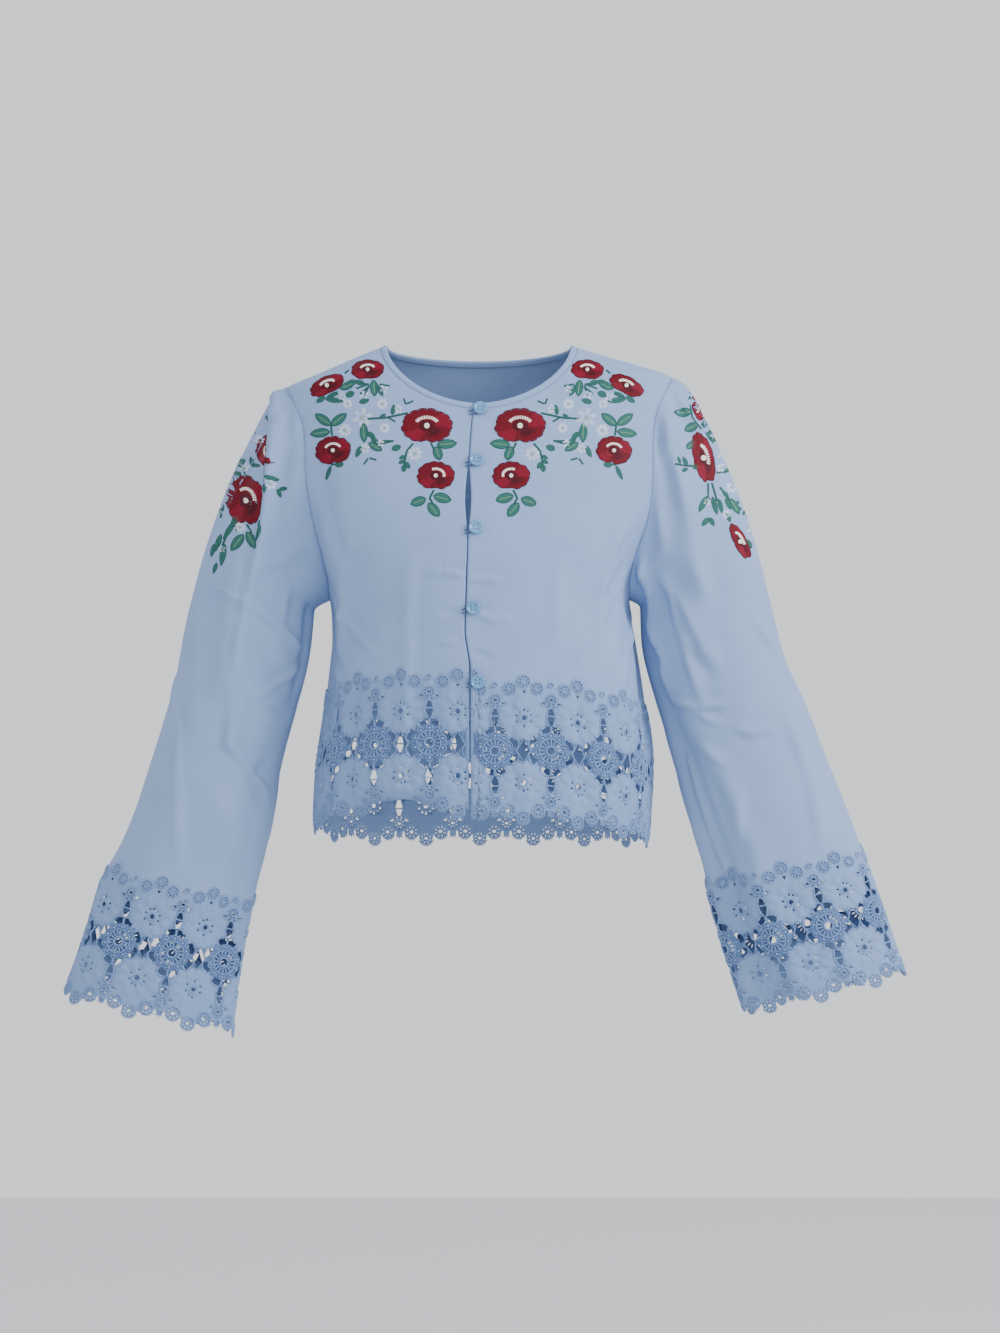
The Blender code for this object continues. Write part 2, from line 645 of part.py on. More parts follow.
def make_back():
    """The back: one panel between the side seams, with both shoulders and the back neckline."""
    low_angle, low_z = hem_line(back_lengths(), np.pi, 0)
    left, right = half_back(1, low_z[0]), half_back(-1, low_z[-1])
    backwards = [(angle[::-1], height[::-1]) for angle, height in reversed(right)]
    body_panel("back", joined(*left, *backwards, (low_angle[::-1], low_z[::-1])))


def neck_round(width):
    """The whole neckline from the left front edge round the back to the right: angles and heights."""
    angles, heights = [], []
    for side, front in ((1, True), (1, False), (-1, False), (-1, True)):
        edge = centre_turn(side, width, opening_x(-NECK_DROP_FRONT, side)) if front else np.pi / 2
        turn = np.linspace(edge, 0, NECK_STEPS)
        if front != (side > 0):
            turn = turn[::-1]
        x, height = neck_edge(turn, width, front)
        angle = angle_at(side * x, height, front)
        angles.append(angle if side > 0 else angle % (2 * np.pi))
        heights.append(height)
        if (side, front) != (-1, True):
            angles[-1], heights[-1] = angles[-1][:-1], heights[-1][:-1]
    return np.concatenate(angles), np.concatenate(heights)


def make_neck_binding():
    """Narrow edge round the neck, open at the centre front."""
    upper, lower = (moved_out(body, *neck_round(width), 0.3 * MM) for width in (0, BINDING_WIDTH - SEAM_GAP))
    n = len(upper)
    faces = [(i, i + n, i + 1 + n, i + 1) for i in range(n - 1)]
    add_sheet("neck_binding", np.concatenate([upper, lower]), faces, BINDING_WALL, "cloth")


# Sleeves

def cuff_row(side):
    """The cuff lace's wheel row as a function of the round angle."""
    def row(angles):
        return cuff(side, angles, 0 * angles)
    return row


def cuff_pitch(side):
    """Length of one cuff repeat."""
    return ring_length(cuff_row(side), 0, 2 * np.pi) / CUFF_REPEATS


def make_sleeve(name, side, flower):
    """A sleeve tube from the armhole down to the scalloped top of the cuff lace."""
    pitch = cuff_pitch(side)
    lengths = flower + pitch / 4 * np.arange(SLEEVE_COLUMNS)
    at_cuff = arc_angles(cuff_row(side), lengths, 0)
    order = np.argsort(at_cuff % (2 * np.pi))
    at_cuff, lengths = at_cuff[order] % (2 * np.pi), lengths[order]
    at_top = 2 * np.pi * np.arange(SLEEVE_COLUMNS) / SLEEVE_COLUMNS
    wheel = section_run(side, CUFF_SECTION)
    last = wheel - LACE_PEAK - 12 * MM
    runs = np.concatenate([np.linspace(-SLEEVE_HEAD, 0, 6), np.linspace(0, last, 12)[1:]])
    share = (runs[:, None] + SLEEVE_HEAD) / (last + SLEEVE_HEAD)
    angles = at_top + (at_cuff - at_top) * share
    angles = np.concatenate([angles, at_cuff[None, :]])
    runs = np.concatenate([np.repeat(runs[:, None], SLEEVE_COLUMNS, axis=1),
                           (wheel - lace_top(lengths, flower, pitch) - SIDE_GAP)[None, :]])
    points = sleeve(side, angles, runs).reshape(-1, 3)
    n = SLEEVE_COLUMNS
    faces = [(r * n + c, (r + 1) * n + c, (r + 1) * n + (c + 1) % n, r * n + (c + 1) % n)
             for r in range(len(runs) - 1) for c in range(n)]
    add_sheet(name, points, faces, CLOTH_WALL, "cloth", flip=side < 0)


# Lace

def gap_outline(place, row):
    """Corners of one lace gap, about a wheel at `place`."""
    across, up, half_width, half_height, lean = (LACE_GAPS[name][row] for name in LACE_GAPS)
    return np.array([
        (place + across - half_width, up + lean), (place + across, up - half_height),
        (place + across + half_width, up - lean), (place + across, up + half_height),
    ])


def lace_flat(start, end, flower, pitch):
    """Flat lace between two lengths: outline, gaps and inner points, with a flower column at `flower`."""
    lengths = quarters(start, end, flower, pitch)
    share = scallop(lengths, flower, pitch)
    top = np.stack([lengths, lace_top(lengths, flower, pitch)], axis=-1)
    bottom = np.stack([lengths, -LACE_BOTTOM - (LACE_PEAK - LACE_BOTTOM) * share], axis=-1)
    outline = np.concatenate([top, bottom[::-1]])
    first = int(np.floor((start - flower) / pitch)) - 1
    columns = flower + pitch * np.arange(first, first + 3 + int((end - start) / pitch) + 1)
    holes = [gap_outline(column + pitch / 2, row)
             for column in columns for row in range(len(LACE_GAPS["up"]))]
    holes = [hole for hole in holes
             if hole[:, 0].min() > start + MM and hole[:, 0].max() < end - MM]
    inner = [(column, up * MM) for column in columns for up in (29, -29)]
    inner += [(at, up * MM) for at in (start + 5 * MM, end - 5 * MM) for up in (-48, -30, 0, 30, 48)]
    inner = inside(np.array(inner), outline, 3 * MM)
    for hole in holes:
        far = np.linalg.norm(inner - hole.mean(axis=0), axis=1) > 9 * MM
        inner = inner[far]
    return outline, holes, list(inner)


def make_hem_lace(name, reference, lengths, flower):
    """A stretch of the hem's lace band, measured from a reference angle."""
    corners, faces = filled(*lace_flat(lengths[0], lengths[-1], flower, LACE_PITCH))
    angles = arc_angles(body_row, corners[:, 0], reference)
    add_sheet(name, hem(angles, corners[:, 1]), faces, LACE_WALL, "lace")


def make_cuff_laces(wearer_side, side, flower):
    """A cuff's lace tube, split between repeats into a front and a back half."""
    pitch = cuff_pitch(side)
    start = flower - (2.25 if flower > 0 else 1.75) * pitch
    gap = SIDE_GAP / 2
    for half, low, high in (("front", start, start + 4 * pitch),
                            ("back", start + 4 * pitch, start + CUFF_REPEATS * pitch)):
        corners, faces = filled(*lace_flat(low + gap, high - gap, flower, pitch))
        angles = arc_angles(cuff_row(side), corners[:, 0], 0)
        name = f"cuff_lace_{wearer_side}_{half}"
        add_sheet(name, cuff(side, angles, corners[:, 1]), faces, LACE_WALL, "lace", flip=side < 0)


# Buttons and loops

def make_button_mesh():
    """A dished round button with a raised rim and four holes, its underside at zero height."""
    profile = bpy.data.meshes.new("button_profile")
    outline = [(radius, 0, height) for radius, height in zip(BUTTON_PROFILE["radius"], BUTTON_PROFILE["height"])]
    profile.from_pydata(outline, [(i, i + 1) for i in range(len(outline) - 1)], [])
    turned = bpy.data.objects.new("button_blank", profile)
    blouse.objects.link(turned)
    screw = turned.modifiers.new("turned", "SCREW")
    screw.steps = screw.render_steps = 12
    screw.use_merge_vertices = True
    screw.merge_threshold = 0.00005
    drill = bmesh.new()
    for x, y in ((1, 1), (-1, 1), (-1, -1), (1, -1)):
        place = Matrix.Translation((BUTTON_HOLE_REACH * x, BUTTON_HOLE_REACH * y, 0))
        bmesh.ops.create_cone(drill, cap_ends=True, segments=4, radius1=BUTTON_HOLE_RADIUS,
                              radius2=BUTTON_HOLE_RADIUS, depth=8 * MM, matrix=place)
    drill_mesh = bpy.data.meshes.new("button_holes")
    drill.to_mesh(drill_mesh)
    drill.free()
    drills = bpy.data.objects.new("button_holes", drill_mesh)
    cutters.objects.link(drills)
    drills.hide_render = True
    drills.display_type = "WIRE"
    holes = turned.modifiers.new("holes", "BOOLEAN")
    holes.object = drills
    bpy.context.view_layer.update()
    mesh = bpy.data.meshes.new_from_object(turned.evaluated_get(bpy.context.evaluated_depsgraph_get()))
    mesh.name = "button"
    bpy.data.objects.remove(turned)
    return mesh


def front_place(x, height, out):
    """A point above the front at x and height."""
    angle = angle_at(x, height)
    return moved_out(body, angle, height, out)


def make_buttons():
    """Buttons in a column on the wearer's left front edge, each with the loop that holds it."""
    mesh = make_button_mesh()
    for k, height in enumerate(BUTTONS["height"]):
        x = opening_x(height, 1) + BUTTON_INSET
        centre = front_place(x, height, BUTTON_STAND)
        normal = unit(centre - front_place(x, height, 0))
        across = unit(front_place(x + MM, height, 0) - front_place(x - MM, height, 0))
        up = np.cross(normal, across)
        button = add_part(f"button_{k + 1}", mesh, "button")
        button.matrix_world = Matrix.Translation(centre) @ Matrix((across, up, normal)).transposed().to_4x4()
        line = bpy.data.curves.new(f"loop_{k + 1}", "CURVE")
        line.dimensions = "3D"
        line.bevel_depth = LOOP_RADIUS
        line.bevel_resolution = 0
        line.use_fill_caps = True
        spline = line.splines.new("POLY")
        spline.points.add(len(LOOP_PATH["up"]) - 1)
        for point, over, rise in zip(spline.points, LOOP_PATH["across"], LOOP_PATH["up"]):
            place = front_place(x + over, height + rise, SEAM_GAP + LOOP_RADIUS)
            point.co = (*place, 1)
        add_part(f"loop_{k + 1}", line, "thread")


for old in list(bpy.data.objects):
    bpy.data.objects.remove(old)
blouse = bpy.data.collections.new("embroidered_blouse")
cutters = bpy.data.collections.new("cutters")
bpy.context.scene.collection.children.link(blouse)
bpy.context.scene.collection.children.link(cutters)

make_front("front_right", -1)
make_front("front_left", 1)
make_back()
make_neck_binding()
make_sleeve("sleeve_right", -1, RIGHT_CUFF_FLOWER)
make_sleeve("sleeve_left", 1, LEFT_CUFF_FLOWER)
make_hem_lace("hem_lace_front_right", front_edge(-1), *front_lengths(-1))
make_hem_lace("hem_lace_front_left", front_edge(1), *front_lengths(1))
make_hem_lace("hem_lace_back", np.pi, back_lengths(), 0)
make_cuff_laces("right", -1, RIGHT_CUFF_FLOWER)
make_cuff_laces("left", 1, LEFT_CUFF_FLOWER)
make_buttons()
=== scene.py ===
"""Looks of the embroidered folk blouse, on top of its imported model.

Metres, +Z up, the front faces -Y, the wearer's right is at -X. The cloth, the lace and the embroidery are
laid on the same surfaces as the solids, given by the sizes and tables below.
"""
from functools import lru_cache, partial

import bpy
import bmesh
import numpy as np
from mathutils import Matrix, Vector
from mathutils.geometry import delaunay_2d_cdt


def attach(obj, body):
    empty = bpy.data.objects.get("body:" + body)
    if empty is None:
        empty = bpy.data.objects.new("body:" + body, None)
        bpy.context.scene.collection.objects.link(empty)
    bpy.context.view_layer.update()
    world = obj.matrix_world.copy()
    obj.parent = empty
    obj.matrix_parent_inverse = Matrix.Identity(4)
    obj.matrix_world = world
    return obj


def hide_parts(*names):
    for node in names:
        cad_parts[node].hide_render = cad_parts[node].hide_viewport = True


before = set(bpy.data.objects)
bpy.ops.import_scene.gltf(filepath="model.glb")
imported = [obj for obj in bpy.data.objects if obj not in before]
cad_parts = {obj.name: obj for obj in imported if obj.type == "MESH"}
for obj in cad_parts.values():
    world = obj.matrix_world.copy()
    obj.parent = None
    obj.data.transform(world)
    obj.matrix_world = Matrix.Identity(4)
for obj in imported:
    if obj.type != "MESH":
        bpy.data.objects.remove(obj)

bl_info = {
    "name": "Embroidered blouse",
    "version": (1, 0, 0),
    "blender": (4, 5, 0),
    "location": "View3D > Sidebar > Blouse",
    "description": "Cloth, lace, embroidery, buttons and studio for a folk blouse",
    "category": "Object",
}

MM = 0.001

# Driving sizes
NECK_HALF = 92 * MM
NECK_DROP_FRONT = 63 * MM
NECK_DROP_BACK = 10 * MM
NECK_POWER = 1.8
BINDING_WIDTH = 5 * MM
SHOULDER_HALF = 190 * MM
SHOULDER_HEIGHT = -36 * MM
UNDERARM_HEIGHT = -254 * MM
ARMHOLE_DEPTH = 56 * MM     # how far the armhole reaches forwards and backwards
SHOULDER_TILT = 5 * MM      # the wearer's right shoulder lies lower by this, the left one higher
SQUARENESS = 2.35
SLEEVE_SQUARENESS = 2.1
SLEEVE_HEAD = 95 * MM       # run from the armhole seam to the first regular sleeve section
LACE_PITCH = 56 * MM
CUFF_REPEATS = 7
CUFF_SECTION = 8            # row of the sleeve tables that carries the cuff's wheel row
HEM_CURL_RADIUS = 12 * MM   # the wearer's right front hem rolls under in part
HEM_CURL_START = -41 * MM
HEM_CURL_MIDDLE = np.radians(-38)
HEM_CURL_REACH = np.radians(24)
FLAT_RADIUS = 150 * MM      # radius that turns an angle round the body into a flat length
SHOULDER_SLOPE = np.hypot(SHOULDER_HALF - NECK_HALF, SHOULDER_HEIGHT) / -SHOULDER_HEIGHT
SIDE_GAP = 0.1 * MM         # between a sleeve and its armhole
HEAD_GATHERS = 5            # gathers over the top of each sleeve head
HEAD_GATHER_DEPTH = 2.2 * MM
SLEEVE_RADIUS = 55 * MM     # radius that turns an angle round a sleeve into a flat length
SLEEVE_STEPS = 140          # points of the shown cloth round a sleeve

# Shown cloth and lace
SHOWN_LIFT = 0.2 * MM       # outer side of the shown cloth above the plain surface
SHOWN_GAP = 0.1 * MM        # between two shown panels at a seam
LACE_LIFT = 0.95 * MM       # outer side of the lace's ground, which lies on the cloth's lower end
CLOTH_END = 57.5 * MM       # the cloth's lower end above the lace's wheel row
LACE_TOP_BASE = 60 * MM     # lace edges between their rosettes, from the wheel row
LACE_LOW_BASE = 57 * MM
LACE_EDGE_STEP = 1.4 * MM   # between points along the lace's edges
LACE_GRID = 4.5 * MM        # between points inside the lace's ground
LACE_MARGIN = 0.8 * MM      # ground left between a gap and a seam
CREASE_DEPTH = 3.2          # depth factor of the finer creases
FACING = 20 * MM            # stitched line beside the opening
BUTTON_HOLE_REACH = 1.7 * MM
BUTTON_STAND = 2.2 * MM     # underside of a button above what it lies on
BUTTON_HOLE_RADIUS = 0.75 * MM
LOOP_RADIUS = 0.62 * MM
LOOP_LIFT = 1.05 * MM       # middle of a loop's cord above the cloth
EDGE_STITCH = 1.6 * MM      # stitched line beside the front edge
SEWN_WIDTH = 0.6 * MM       # size of a sewing stitch
SEWN_HEIGHT = 0.28 * MM
NARROW_BEYOND = 211 * MM    # motifs further out than this on the wearer's right are drawn in by a share
NARROWED = 0.1
MIRROR_HEIGHTS = (30 * MM, 80 * MM)    # the second front's motifs lie further out below these heights
MIRROR_SHIFTS = (3 * MM, 11 * MM)

# The photo's level camera
CAMERA_ACROSS = 0.021
CAMERA_DISTANCE = 3.2
CAMERA_HEIGHT = -0.3205

# Colours of the parts (sRGB)
CLOTH_COLOUR = "#8fa9d2"
CLOTH_SHADE = "#849dc6"
LACE_COLOUR = "#819cc7"
# Darker lace ground: painted shade between the cords round the wheels
LACE_PAINTED_SHADE = "#5f79a7"
SEWING_COLOUR = "#93abd2"
LOOP_COLOUR = "#4a6187"
BUTTON_COLOUR = "#3f7cae"
BUTTON_LIGHT = "#6ba5d0"
FLOOR_COLOUR = "#dcdee1"
WORLD_COLOUR = "#eef0f4"
THREADS = {
    "deep_red": "#4b0517",
    "red": "#68041b",
    "bright_red": "#7a0826",
    "green": "#336b63",
    "dark_green": "#22534d",
    "pale_green": "#8fae8c",
    "white": "#f2efe9",
    "pale_blue": "#bccae6",
}


def table(columns, *rows):
    """Rows under named columns: _deg columns in degrees, the others in millimetres."""
    values = np.array(rows, dtype=float)
    return {name: np.radians(values[:, i]) if name.endswith("_deg") else values[:, i] * MM
            for i, name in enumerate(columns.split())}


# Body rings: half-widths to the wearer's right and left, and depths, at each height
BODY = table(
    "height right left front back",
    (0, 92, 92, 34, 50),
    (-12, 126, 126, 43, 61),
    (-24, 159, 159, 51, 70),
    (-36, 190, 190, 58, 77),
    (-50, 198, 198, 64, 84),
    (-80, 200, 200, 77, 95),
    (-110, 198, 198, 90, 103),
    (-145, 191, 191, 104, 109),
    (-180, 180, 180, 116, 111),
    (-215, 165, 165, 124, 111),
    (-254, 149, 151, 127, 110),
    (-290, 146, 156, 128, 111),
    (-325, 149, 161, 128, 113),
    (-360, 153, 166, 128, 115),
    (-395, 158, 172, 127, 117),
    (-440, 163, 172, 127, 119),
    (-475, 164, 170, 126, 119),
    (-520, 162, 166, 125, 118),
)

# Height of the lace's wheel row round the wearer's right and left side, 0 degrees at the centre front
WHEEL_ROW = table(
    "round_deg right left",
    (0, -395, -402), (30, -394, -402), (60, -401, -416), (90, -415, -429), (120, -430, -433),
    (180, -434, -434),
)

# Where the two front edges meet, from the neck to the hem
OPENING = table(
    "height middle gap",
    (0, -4.5, 0.6), (-64, -5.2, 0.6), (-90, -7.3, 0.7), (-120, -9.2, 0.8), (-159, -9.8, 3.0),
    (-192, -10, 0.8), (-230, -11, 0.7), (-266, -12, 0.7), (-292, -12.2, 0.7), (-308, -9.6, 0.8),
    (-319, -8.1, 0.9), (-335, -8, 1.0), (-405, -8, 1.0), (-520, -8, 1.0),
)

# Largest folds of the body, from one end to the other
BODY_FOLDS = table(
    "from_deg from_height to_deg to_height width depth",
    (-68, -130, -78, -260, 16, -6),
    (-58, -180, -66, -310, 14, 3),
    (-80, -270, -70, -420, 15, -4),
    (-40, -330, -44, -480, 20, 3),
    (66, -170, 80, -275, 15, -7),
    (52, -230, 62, -400, 18, 3.5),
    (84, -280, 76, -430, 14, -5),
    (28, -300, 33, -480, 22, -3),
    (118, -200, 112, -480, 20, -5),
    (140, -150, 136, -440, 22, 4),
    (168, -220, 164, -500, 24, -4),
    (-112, -210, -108, -490, 20, -5),
    (-133, -180, -138, -460, 23, 4),
    (-160, -250, -163, -500, 22, -4),
)

# Sleeve sections: outer and inner edge, forward shift of the middle, and depths
SLEEVE_RIGHT = table(
    "out_x out_z in_x in_z middle front back",
    (-281, -231, -165, -266, -2, 52, 52),
    (-291, -271, -169, -306, -4, 53, 52),
    (-303, -334, -183, -366, -7, 53, 51),
    (-315, -379, -195, -411, -9, 52, 49),
    (-329, -424, -204, -457, -11, 50, 47),
    (-342, -464, -211, -499, -13, 48, 45),
    (-357, -499, -220, -534, -14, 45, 43),
    (-370, -522, -225, -556, -15, 43, 41),
    (-390, -583, -237, -616, -17, 39, 37),
    (-415, -654, -246, -692, -19, 36, 34),
)
SLEEVE_LEFT = table(
    "out_x out_z in_x in_z middle front back",
    (282, -220, 161, -262, -2, 52, 52),
    (292, -261, 163, -302, -4, 53, 52),
    (306, -314, 176, -354, -7, 53, 51),
    (324, -355, 190, -398, -9, 52, 49),
    (345, -410, 204, -444, -11, 50, 47),
    (363, -455, 217, -488, -13, 48, 45),
    (379, -498, 228, -524, -14, 45, 43),
    (385, -514, 231, -542, -15, 43, 41),
    (401, -560, 247, -600, -17, 39, 37),
    (425, -630, 269, -670, -19, 36, 34),
)

# Largest sleeve folds: 0 degrees faces forwards, 90 outwards; the run starts at section one
SLEEVE_FOLDS_RIGHT = table(
    "from_deg from_run to_deg to_run width depth",
    (64, -86, 18, -34, 11, 6),
    (18, -34, 4, 150, 13, 6),
    (88, -78, 44, -30, 11, -4),
    (44, -30, 26, 110, 13, -5),
    (35, 75, 20, 320, 15, 4),
    (-50, 110, -44, 430, 16, -6),
    (-20, 60, -62, 100, 12, -4),
    (10, 190, -50, 240, 14, 3),
    (150, -40, 165, 210, 18, -5),
    (-150, 40, -160, 440, 18, -6),
    (110, 130, 128, 480, 18, 4),
)
SLEEVE_FOLDS_LEFT = table(
    "from_deg from_run to_deg to_run width depth",
    (46, -84, -4, -30, 11, 5),
    (-4, -30, -14, 60, 13, 6),
    (60, -84, 28, -30, 9, -4),
    (-62, 60, -40, 520, 15, -9),
    (-40, 60, -18, 470, 14, 5),
    (10, 320, 22, 470, 12, 3),
    (-85, 140, -72, 520, 14, 5),
    (150, -40, 165, 210, 18, -5),
    (-150, 40, -160, 440, 18, -6),
    (110, 130, 128, 480, 18, 4),
)

RIGHT_FRONT_FLOWER = -10.5 * MM    # flower column nearest the opening, along each front's lace
LEFT_FRONT_FLOWER = 1 * MM
RIGHT_CUFF_FLOWER = 15 * MM        # flower column nearest the cuff's front, towards its outer side
LEFT_CUFF_FLOWER = -8 * MM

# Heights of the buttons on the wearer's left front edge
BUTTONS = table("height", (-69,), (-121,), (-187,), (-264,), (-335,))
BUTTON_INSET = 6.5 * MM

# Half a turned button with its rim, and a loop's path round the button's stem
BUTTON_PROFILE = table(
    "radius height",
    (0, 1.9), (3.9, 1.85), (4.4, 2.0), (4.9, 2.45), (5.4, 2.65), (6.0, 2.6), (6.5, 2.3), (6.75, 1.8),
    (6.7, 1.1), (6.2, 0.3), (5.8, 0), (0, 0),
)
LOOP_PATH = table(
    "across up",
    (-11, -5.5), (-7, -5), (-3, -4.4), (0, -3.9), (2.4, -2.8), (3.6, 0), (2.4, 2.4), (0, 2.8),
    (-3, 1.2), (-7, -0.8), (-11, -2.4),
)

# Neck edge rolled over: distance from the edge, and rise off the cloth, from outside to inside
NECK_ROLL = table(
    "width out",
    (5.2, 0.3), (4.8, 0.9), (3.6, 1.15), (2, 1.2), (0.7, 1.1), (0, 0.7), (-0.3, 0), (0, -0.8), (0.9, -1.4),
    (2.6, -1.6), (4.8, -1.6),
)

# Scallops of the lace's edges from a flower column: across, up, radius
TOP_SCALLOPS = np.array([(0, 66.2, 7.2), (14, 59.5, 7), (-14, 59.5, 7), (28, 63.6, 3)]) * MM
LOW_SCALLOPS = np.array([(0, 64.5, 7.2), (15, 57.6, 7.8), (-15, 57.6, 7.8), (28, 59.6, 3.4)]) * MM

# Finer creases that only the shown cloth has; lean sets which side of a crease is steep
BODY_CREASES = table(
    "from_deg from_height to_deg to_height width depth lean",
    (-7, -233, -14, -230, 4, 0.9, 0.6), (-14, -230, -20, -233, 4, 0.9, 0.6),
    (-4, -236, 3, -236, 4, 0.9, 0.6), (3, -236, 9, -236, 4, 0.9, 0.6), (-7, -266, -14, -269, 4, -0.8, 0),
    (-1, -269, 7, -275, 5, 0.9, 0.6), (7, -275, 14, -272, 5, 0.9, 0.6), (-2, -308, 5, -311, 4, -0.9, 0),
    (-10, -296, -16, -299, 4, 0.8, 0.5), (-67, -125, -61, -176, 8, -1.6, 0),
    (-61, -176, -56, -218, 8, -1.6, 0), (-54, -203, -60, -245, 9, 1.6, 0.4),
    (-60, -245, -66, -296, 9, 1.6, 0.4), (-80, -245, -58, -281, 6, 1.1, 0.5),
    (-58, -281, -44, -308, 6, 1.1, 0.5), (-88, -251, -81, -293, 6, -1.2, 0),
    (-81, -293, -61, -329, 6, -1.2, 0), (62, -179, 55, -218, 8, 1.4, 0.4),
    (55, -218, 52, -266, 8, 1.4, 0.4), (64, -218, 59, -257, 7, -2, 0), (59, -257, 56, -296, 7, -2, 0),
    (63, -245, 50, -284, 6, 1.2, 0.5), (50, -284, 40, -308, 6, 1.2, 0.5),
    (90, -266, 68, -305, 6, 1.3, 0.4), (68, -305, 60, -344, 6, 1.3, 0.4),
    (35, -218, 33, -296, 10, 0.9, 0.3), (-29, -218, -31, -305, 10, 0.9, 0.3),
    (-29, -300, -33, -450, 9, 1.2, 0.3), (-17, -335, -20, -470, 8, -1, 0),
    (-52, -330, -55, -480, 9, -1.4, 0), (18, -335, 21, -470, 8, 1.1, 0.3),
    (40, -325, 44, -480, 9, -1.2, 0), (58, -350, 61, -480, 8, 1.2, 0.3),
    (100, -250, 97, -430, 8, 1.4, 0.4), (126, -290, 122, -480, 9, -1.3, 0),
    (152, -110, 158, -300, 8, -1.2, 0), (-98, -260, -95, -440, 8, -1.4, 0),
    (-121, -240, -117, -470, 9, 1.3, 0.4), (-146, -120, -151, -330, 8, 1.2, 0.4),
    (177, -190, 176, -440, 9, -1.1, 0), (-172, -140, -170, -300, 7, 0.9, 0.4),
)
SLEEVE_CREASES_RIGHT = table(
    "from_deg from_run to_deg to_run width depth lean",
    (82, -86, 56, -70, 8, 2.8, -1), (56, -70, 38, -62, 8, 2.8, -1),
    (38, -62, 26, -53, 8, 3, -1), (26, -53, 16, -44, 8, 3, -1), (16, -44, 8, -29, 8, 3, -1),
    (8, -29, 4, -8, 8, 2.8, -1), (4, -8, 4, 34, 9, 2.2, -0.8), (4, 34, 2, 73, 9, 2.2, -0.8),
    (2, 73, -8, 148, 10, 1.5, -0.6), (54, 1, 4, 10, 5, 1.3, 0.8), (-1, -20, -13, -35, 6, 1.6, 0.8),
    (-13, -35, -25, -59, 6, 1.6, 0.8), (-6, 13, -37, 25, 5, 1.6, 0.8), (-37, 25, -61, 40, 5, 1.6, 0.8),
    (-22, 97, -44, 76, 5, 1.5, 0.8), (-44, 76, -67, 52, 5, 1.5, 0.8), (-31, 106, -67, 109, 5, -1.3, 0),
    (-66, -17, -67, 40, 8, -2, 0), (-67, 40, -67, 91, 8, -2, 0), (84, 103, 41, 148, 7, 1.2, 0.5),
    (41, 148, 22, 214, 7, 1.2, 0.5), (22, 214, 6, 277, 7, 1.2, 0.5), (-16, 85, -7, 127, 7, 1.4, -0.6),
    (-7, 127, -8, 151, 7, 1.4, -0.6), (-8, 145, -22, 160, 5, 1.5, 0.8),
    (-22, 160, -66, 187, 5, 1.5, 0.8), (-55, 154, -40, 178, 6, -1, 0), (-40, 178, -61, 199, 6, -1, 0),
    (-34, -20, -34, 22, 5, 1.2, 0.5), (68, -93, 62, -78, 5, 1.8, 0), (57, -90, 50, -74, 4, 1.4, 0),
    (78, -92, 76, -72, 5, 1.6, 0), (90, -92, 91, -70, 5, 1.6, 0), (102, -92, 106, -68, 5, 1.5, 0),
    (115, -92, 121, -64, 5, 1.2, 0), (128, -90, 134, -50, 6, 1.2, 0), (140, -60, 128, 90, 8, 1.6, 0.5),
    (172, 40, 160, 220, 9, 1.5, -0.5), (-130, 20, -118, 150, 8, 1.4, 0.5),
    (-165, 200, -150, 330, 8, -1.3, 0), (120, 240, 140, 330, 7, 1.2, 0.5),
    (-110, 160, -95, 230, 6, 1.2, 0.6),
)
SLEEVE_CREASES_LEFT = table(
    "from_deg from_run to_deg to_run width depth lean",
    (-44, -74, -50, -56, 8, 2.6, 1), (-50, -56, -61, 22, 8, 2.6, 1), (-61, 22, -52, 52, 8, 2.6, 1),
    (-52, 52, -56, 94, 8, 2.6, 1), (-36, -29, -26, 46, 7, 2, 0.9), (-26, 46, -24, 106, 7, 2, 0.9),
    (-25, -2, -12, 49, 6, 1.8, 0.8), (-12, 49, -10, 73, 6, 1.8, 0.8), (-56, 100, -24, 115, 5, 1.5, 0.8),
    (-24, 115, -8, 118, 5, 1.5, 0.8), (-31, 118, -18, 133, 5, 1.2, 0.6),
    (-38, 148, -24, 175, 6, 1.4, 0.6), (-4, 145, 8, 154, 6, 1.2, 0.5), (8, 154, 26, 154, 6, 1.2, 0.5),
    (40, 148, 40, 211, 8, 1.4, 0.5), (40, 211, 28, 274, 8, 1.4, 0.5), (41, 49, 58, 82, 7, 1.2, 0.5),
    (58, 82, 72, 121, 7, 1.2, 0.5), (-61, 160, -60, 256, 7, 2.2, 0.9), (-60, 256, -55, 289, 7, 2.2, 0.9),
    (-37, 178, -34, 232, 7, -2, 0), (-34, 232, -32, 286, 7, -2, 0), (-19, 208, -36, 271, 6, 1.4, -0.6),
    (-4, 52, -4, 82, 6, 1.1, 0.5), (-6, -23, 2, 16, 7, 1.1, 0.4), (44, -88, 24, -76, 6, 2, 0.6),
    (24, -76, 6, -50, 7, 2, 0.6), (33, -90, 12, -84, 5, -1.6, 0), (-8, -84, -22, -50, 7, 1.4, 0.5),
    (54, -92, 48, -74, 5, 1.8, 0), (66, -92, 64, -72, 5, 1.7, 0), (78, -92, 78, -70, 5, 1.6, 0),
    (90, -92, 92, -68, 5, 1.5, 0), (103, -92, 108, -66, 5, 1.5, 0), (116, -92, 124, -60, 6, 1.2, 0),
    (138, -50, 126, 100, 8, 1.6, 0.5), (170, 30, 158, 210, 9, 1.5, -0.5),
    (-128, 30, -116, 160, 8, 1.4, 0.5), (-160, 190, -146, 320, 8, -1.3, 0),
    (118, 230, 136, 330, 7, 1.2, 0.5), (-108, 150, -94, 220, 6, 1.2, 0.6),
)

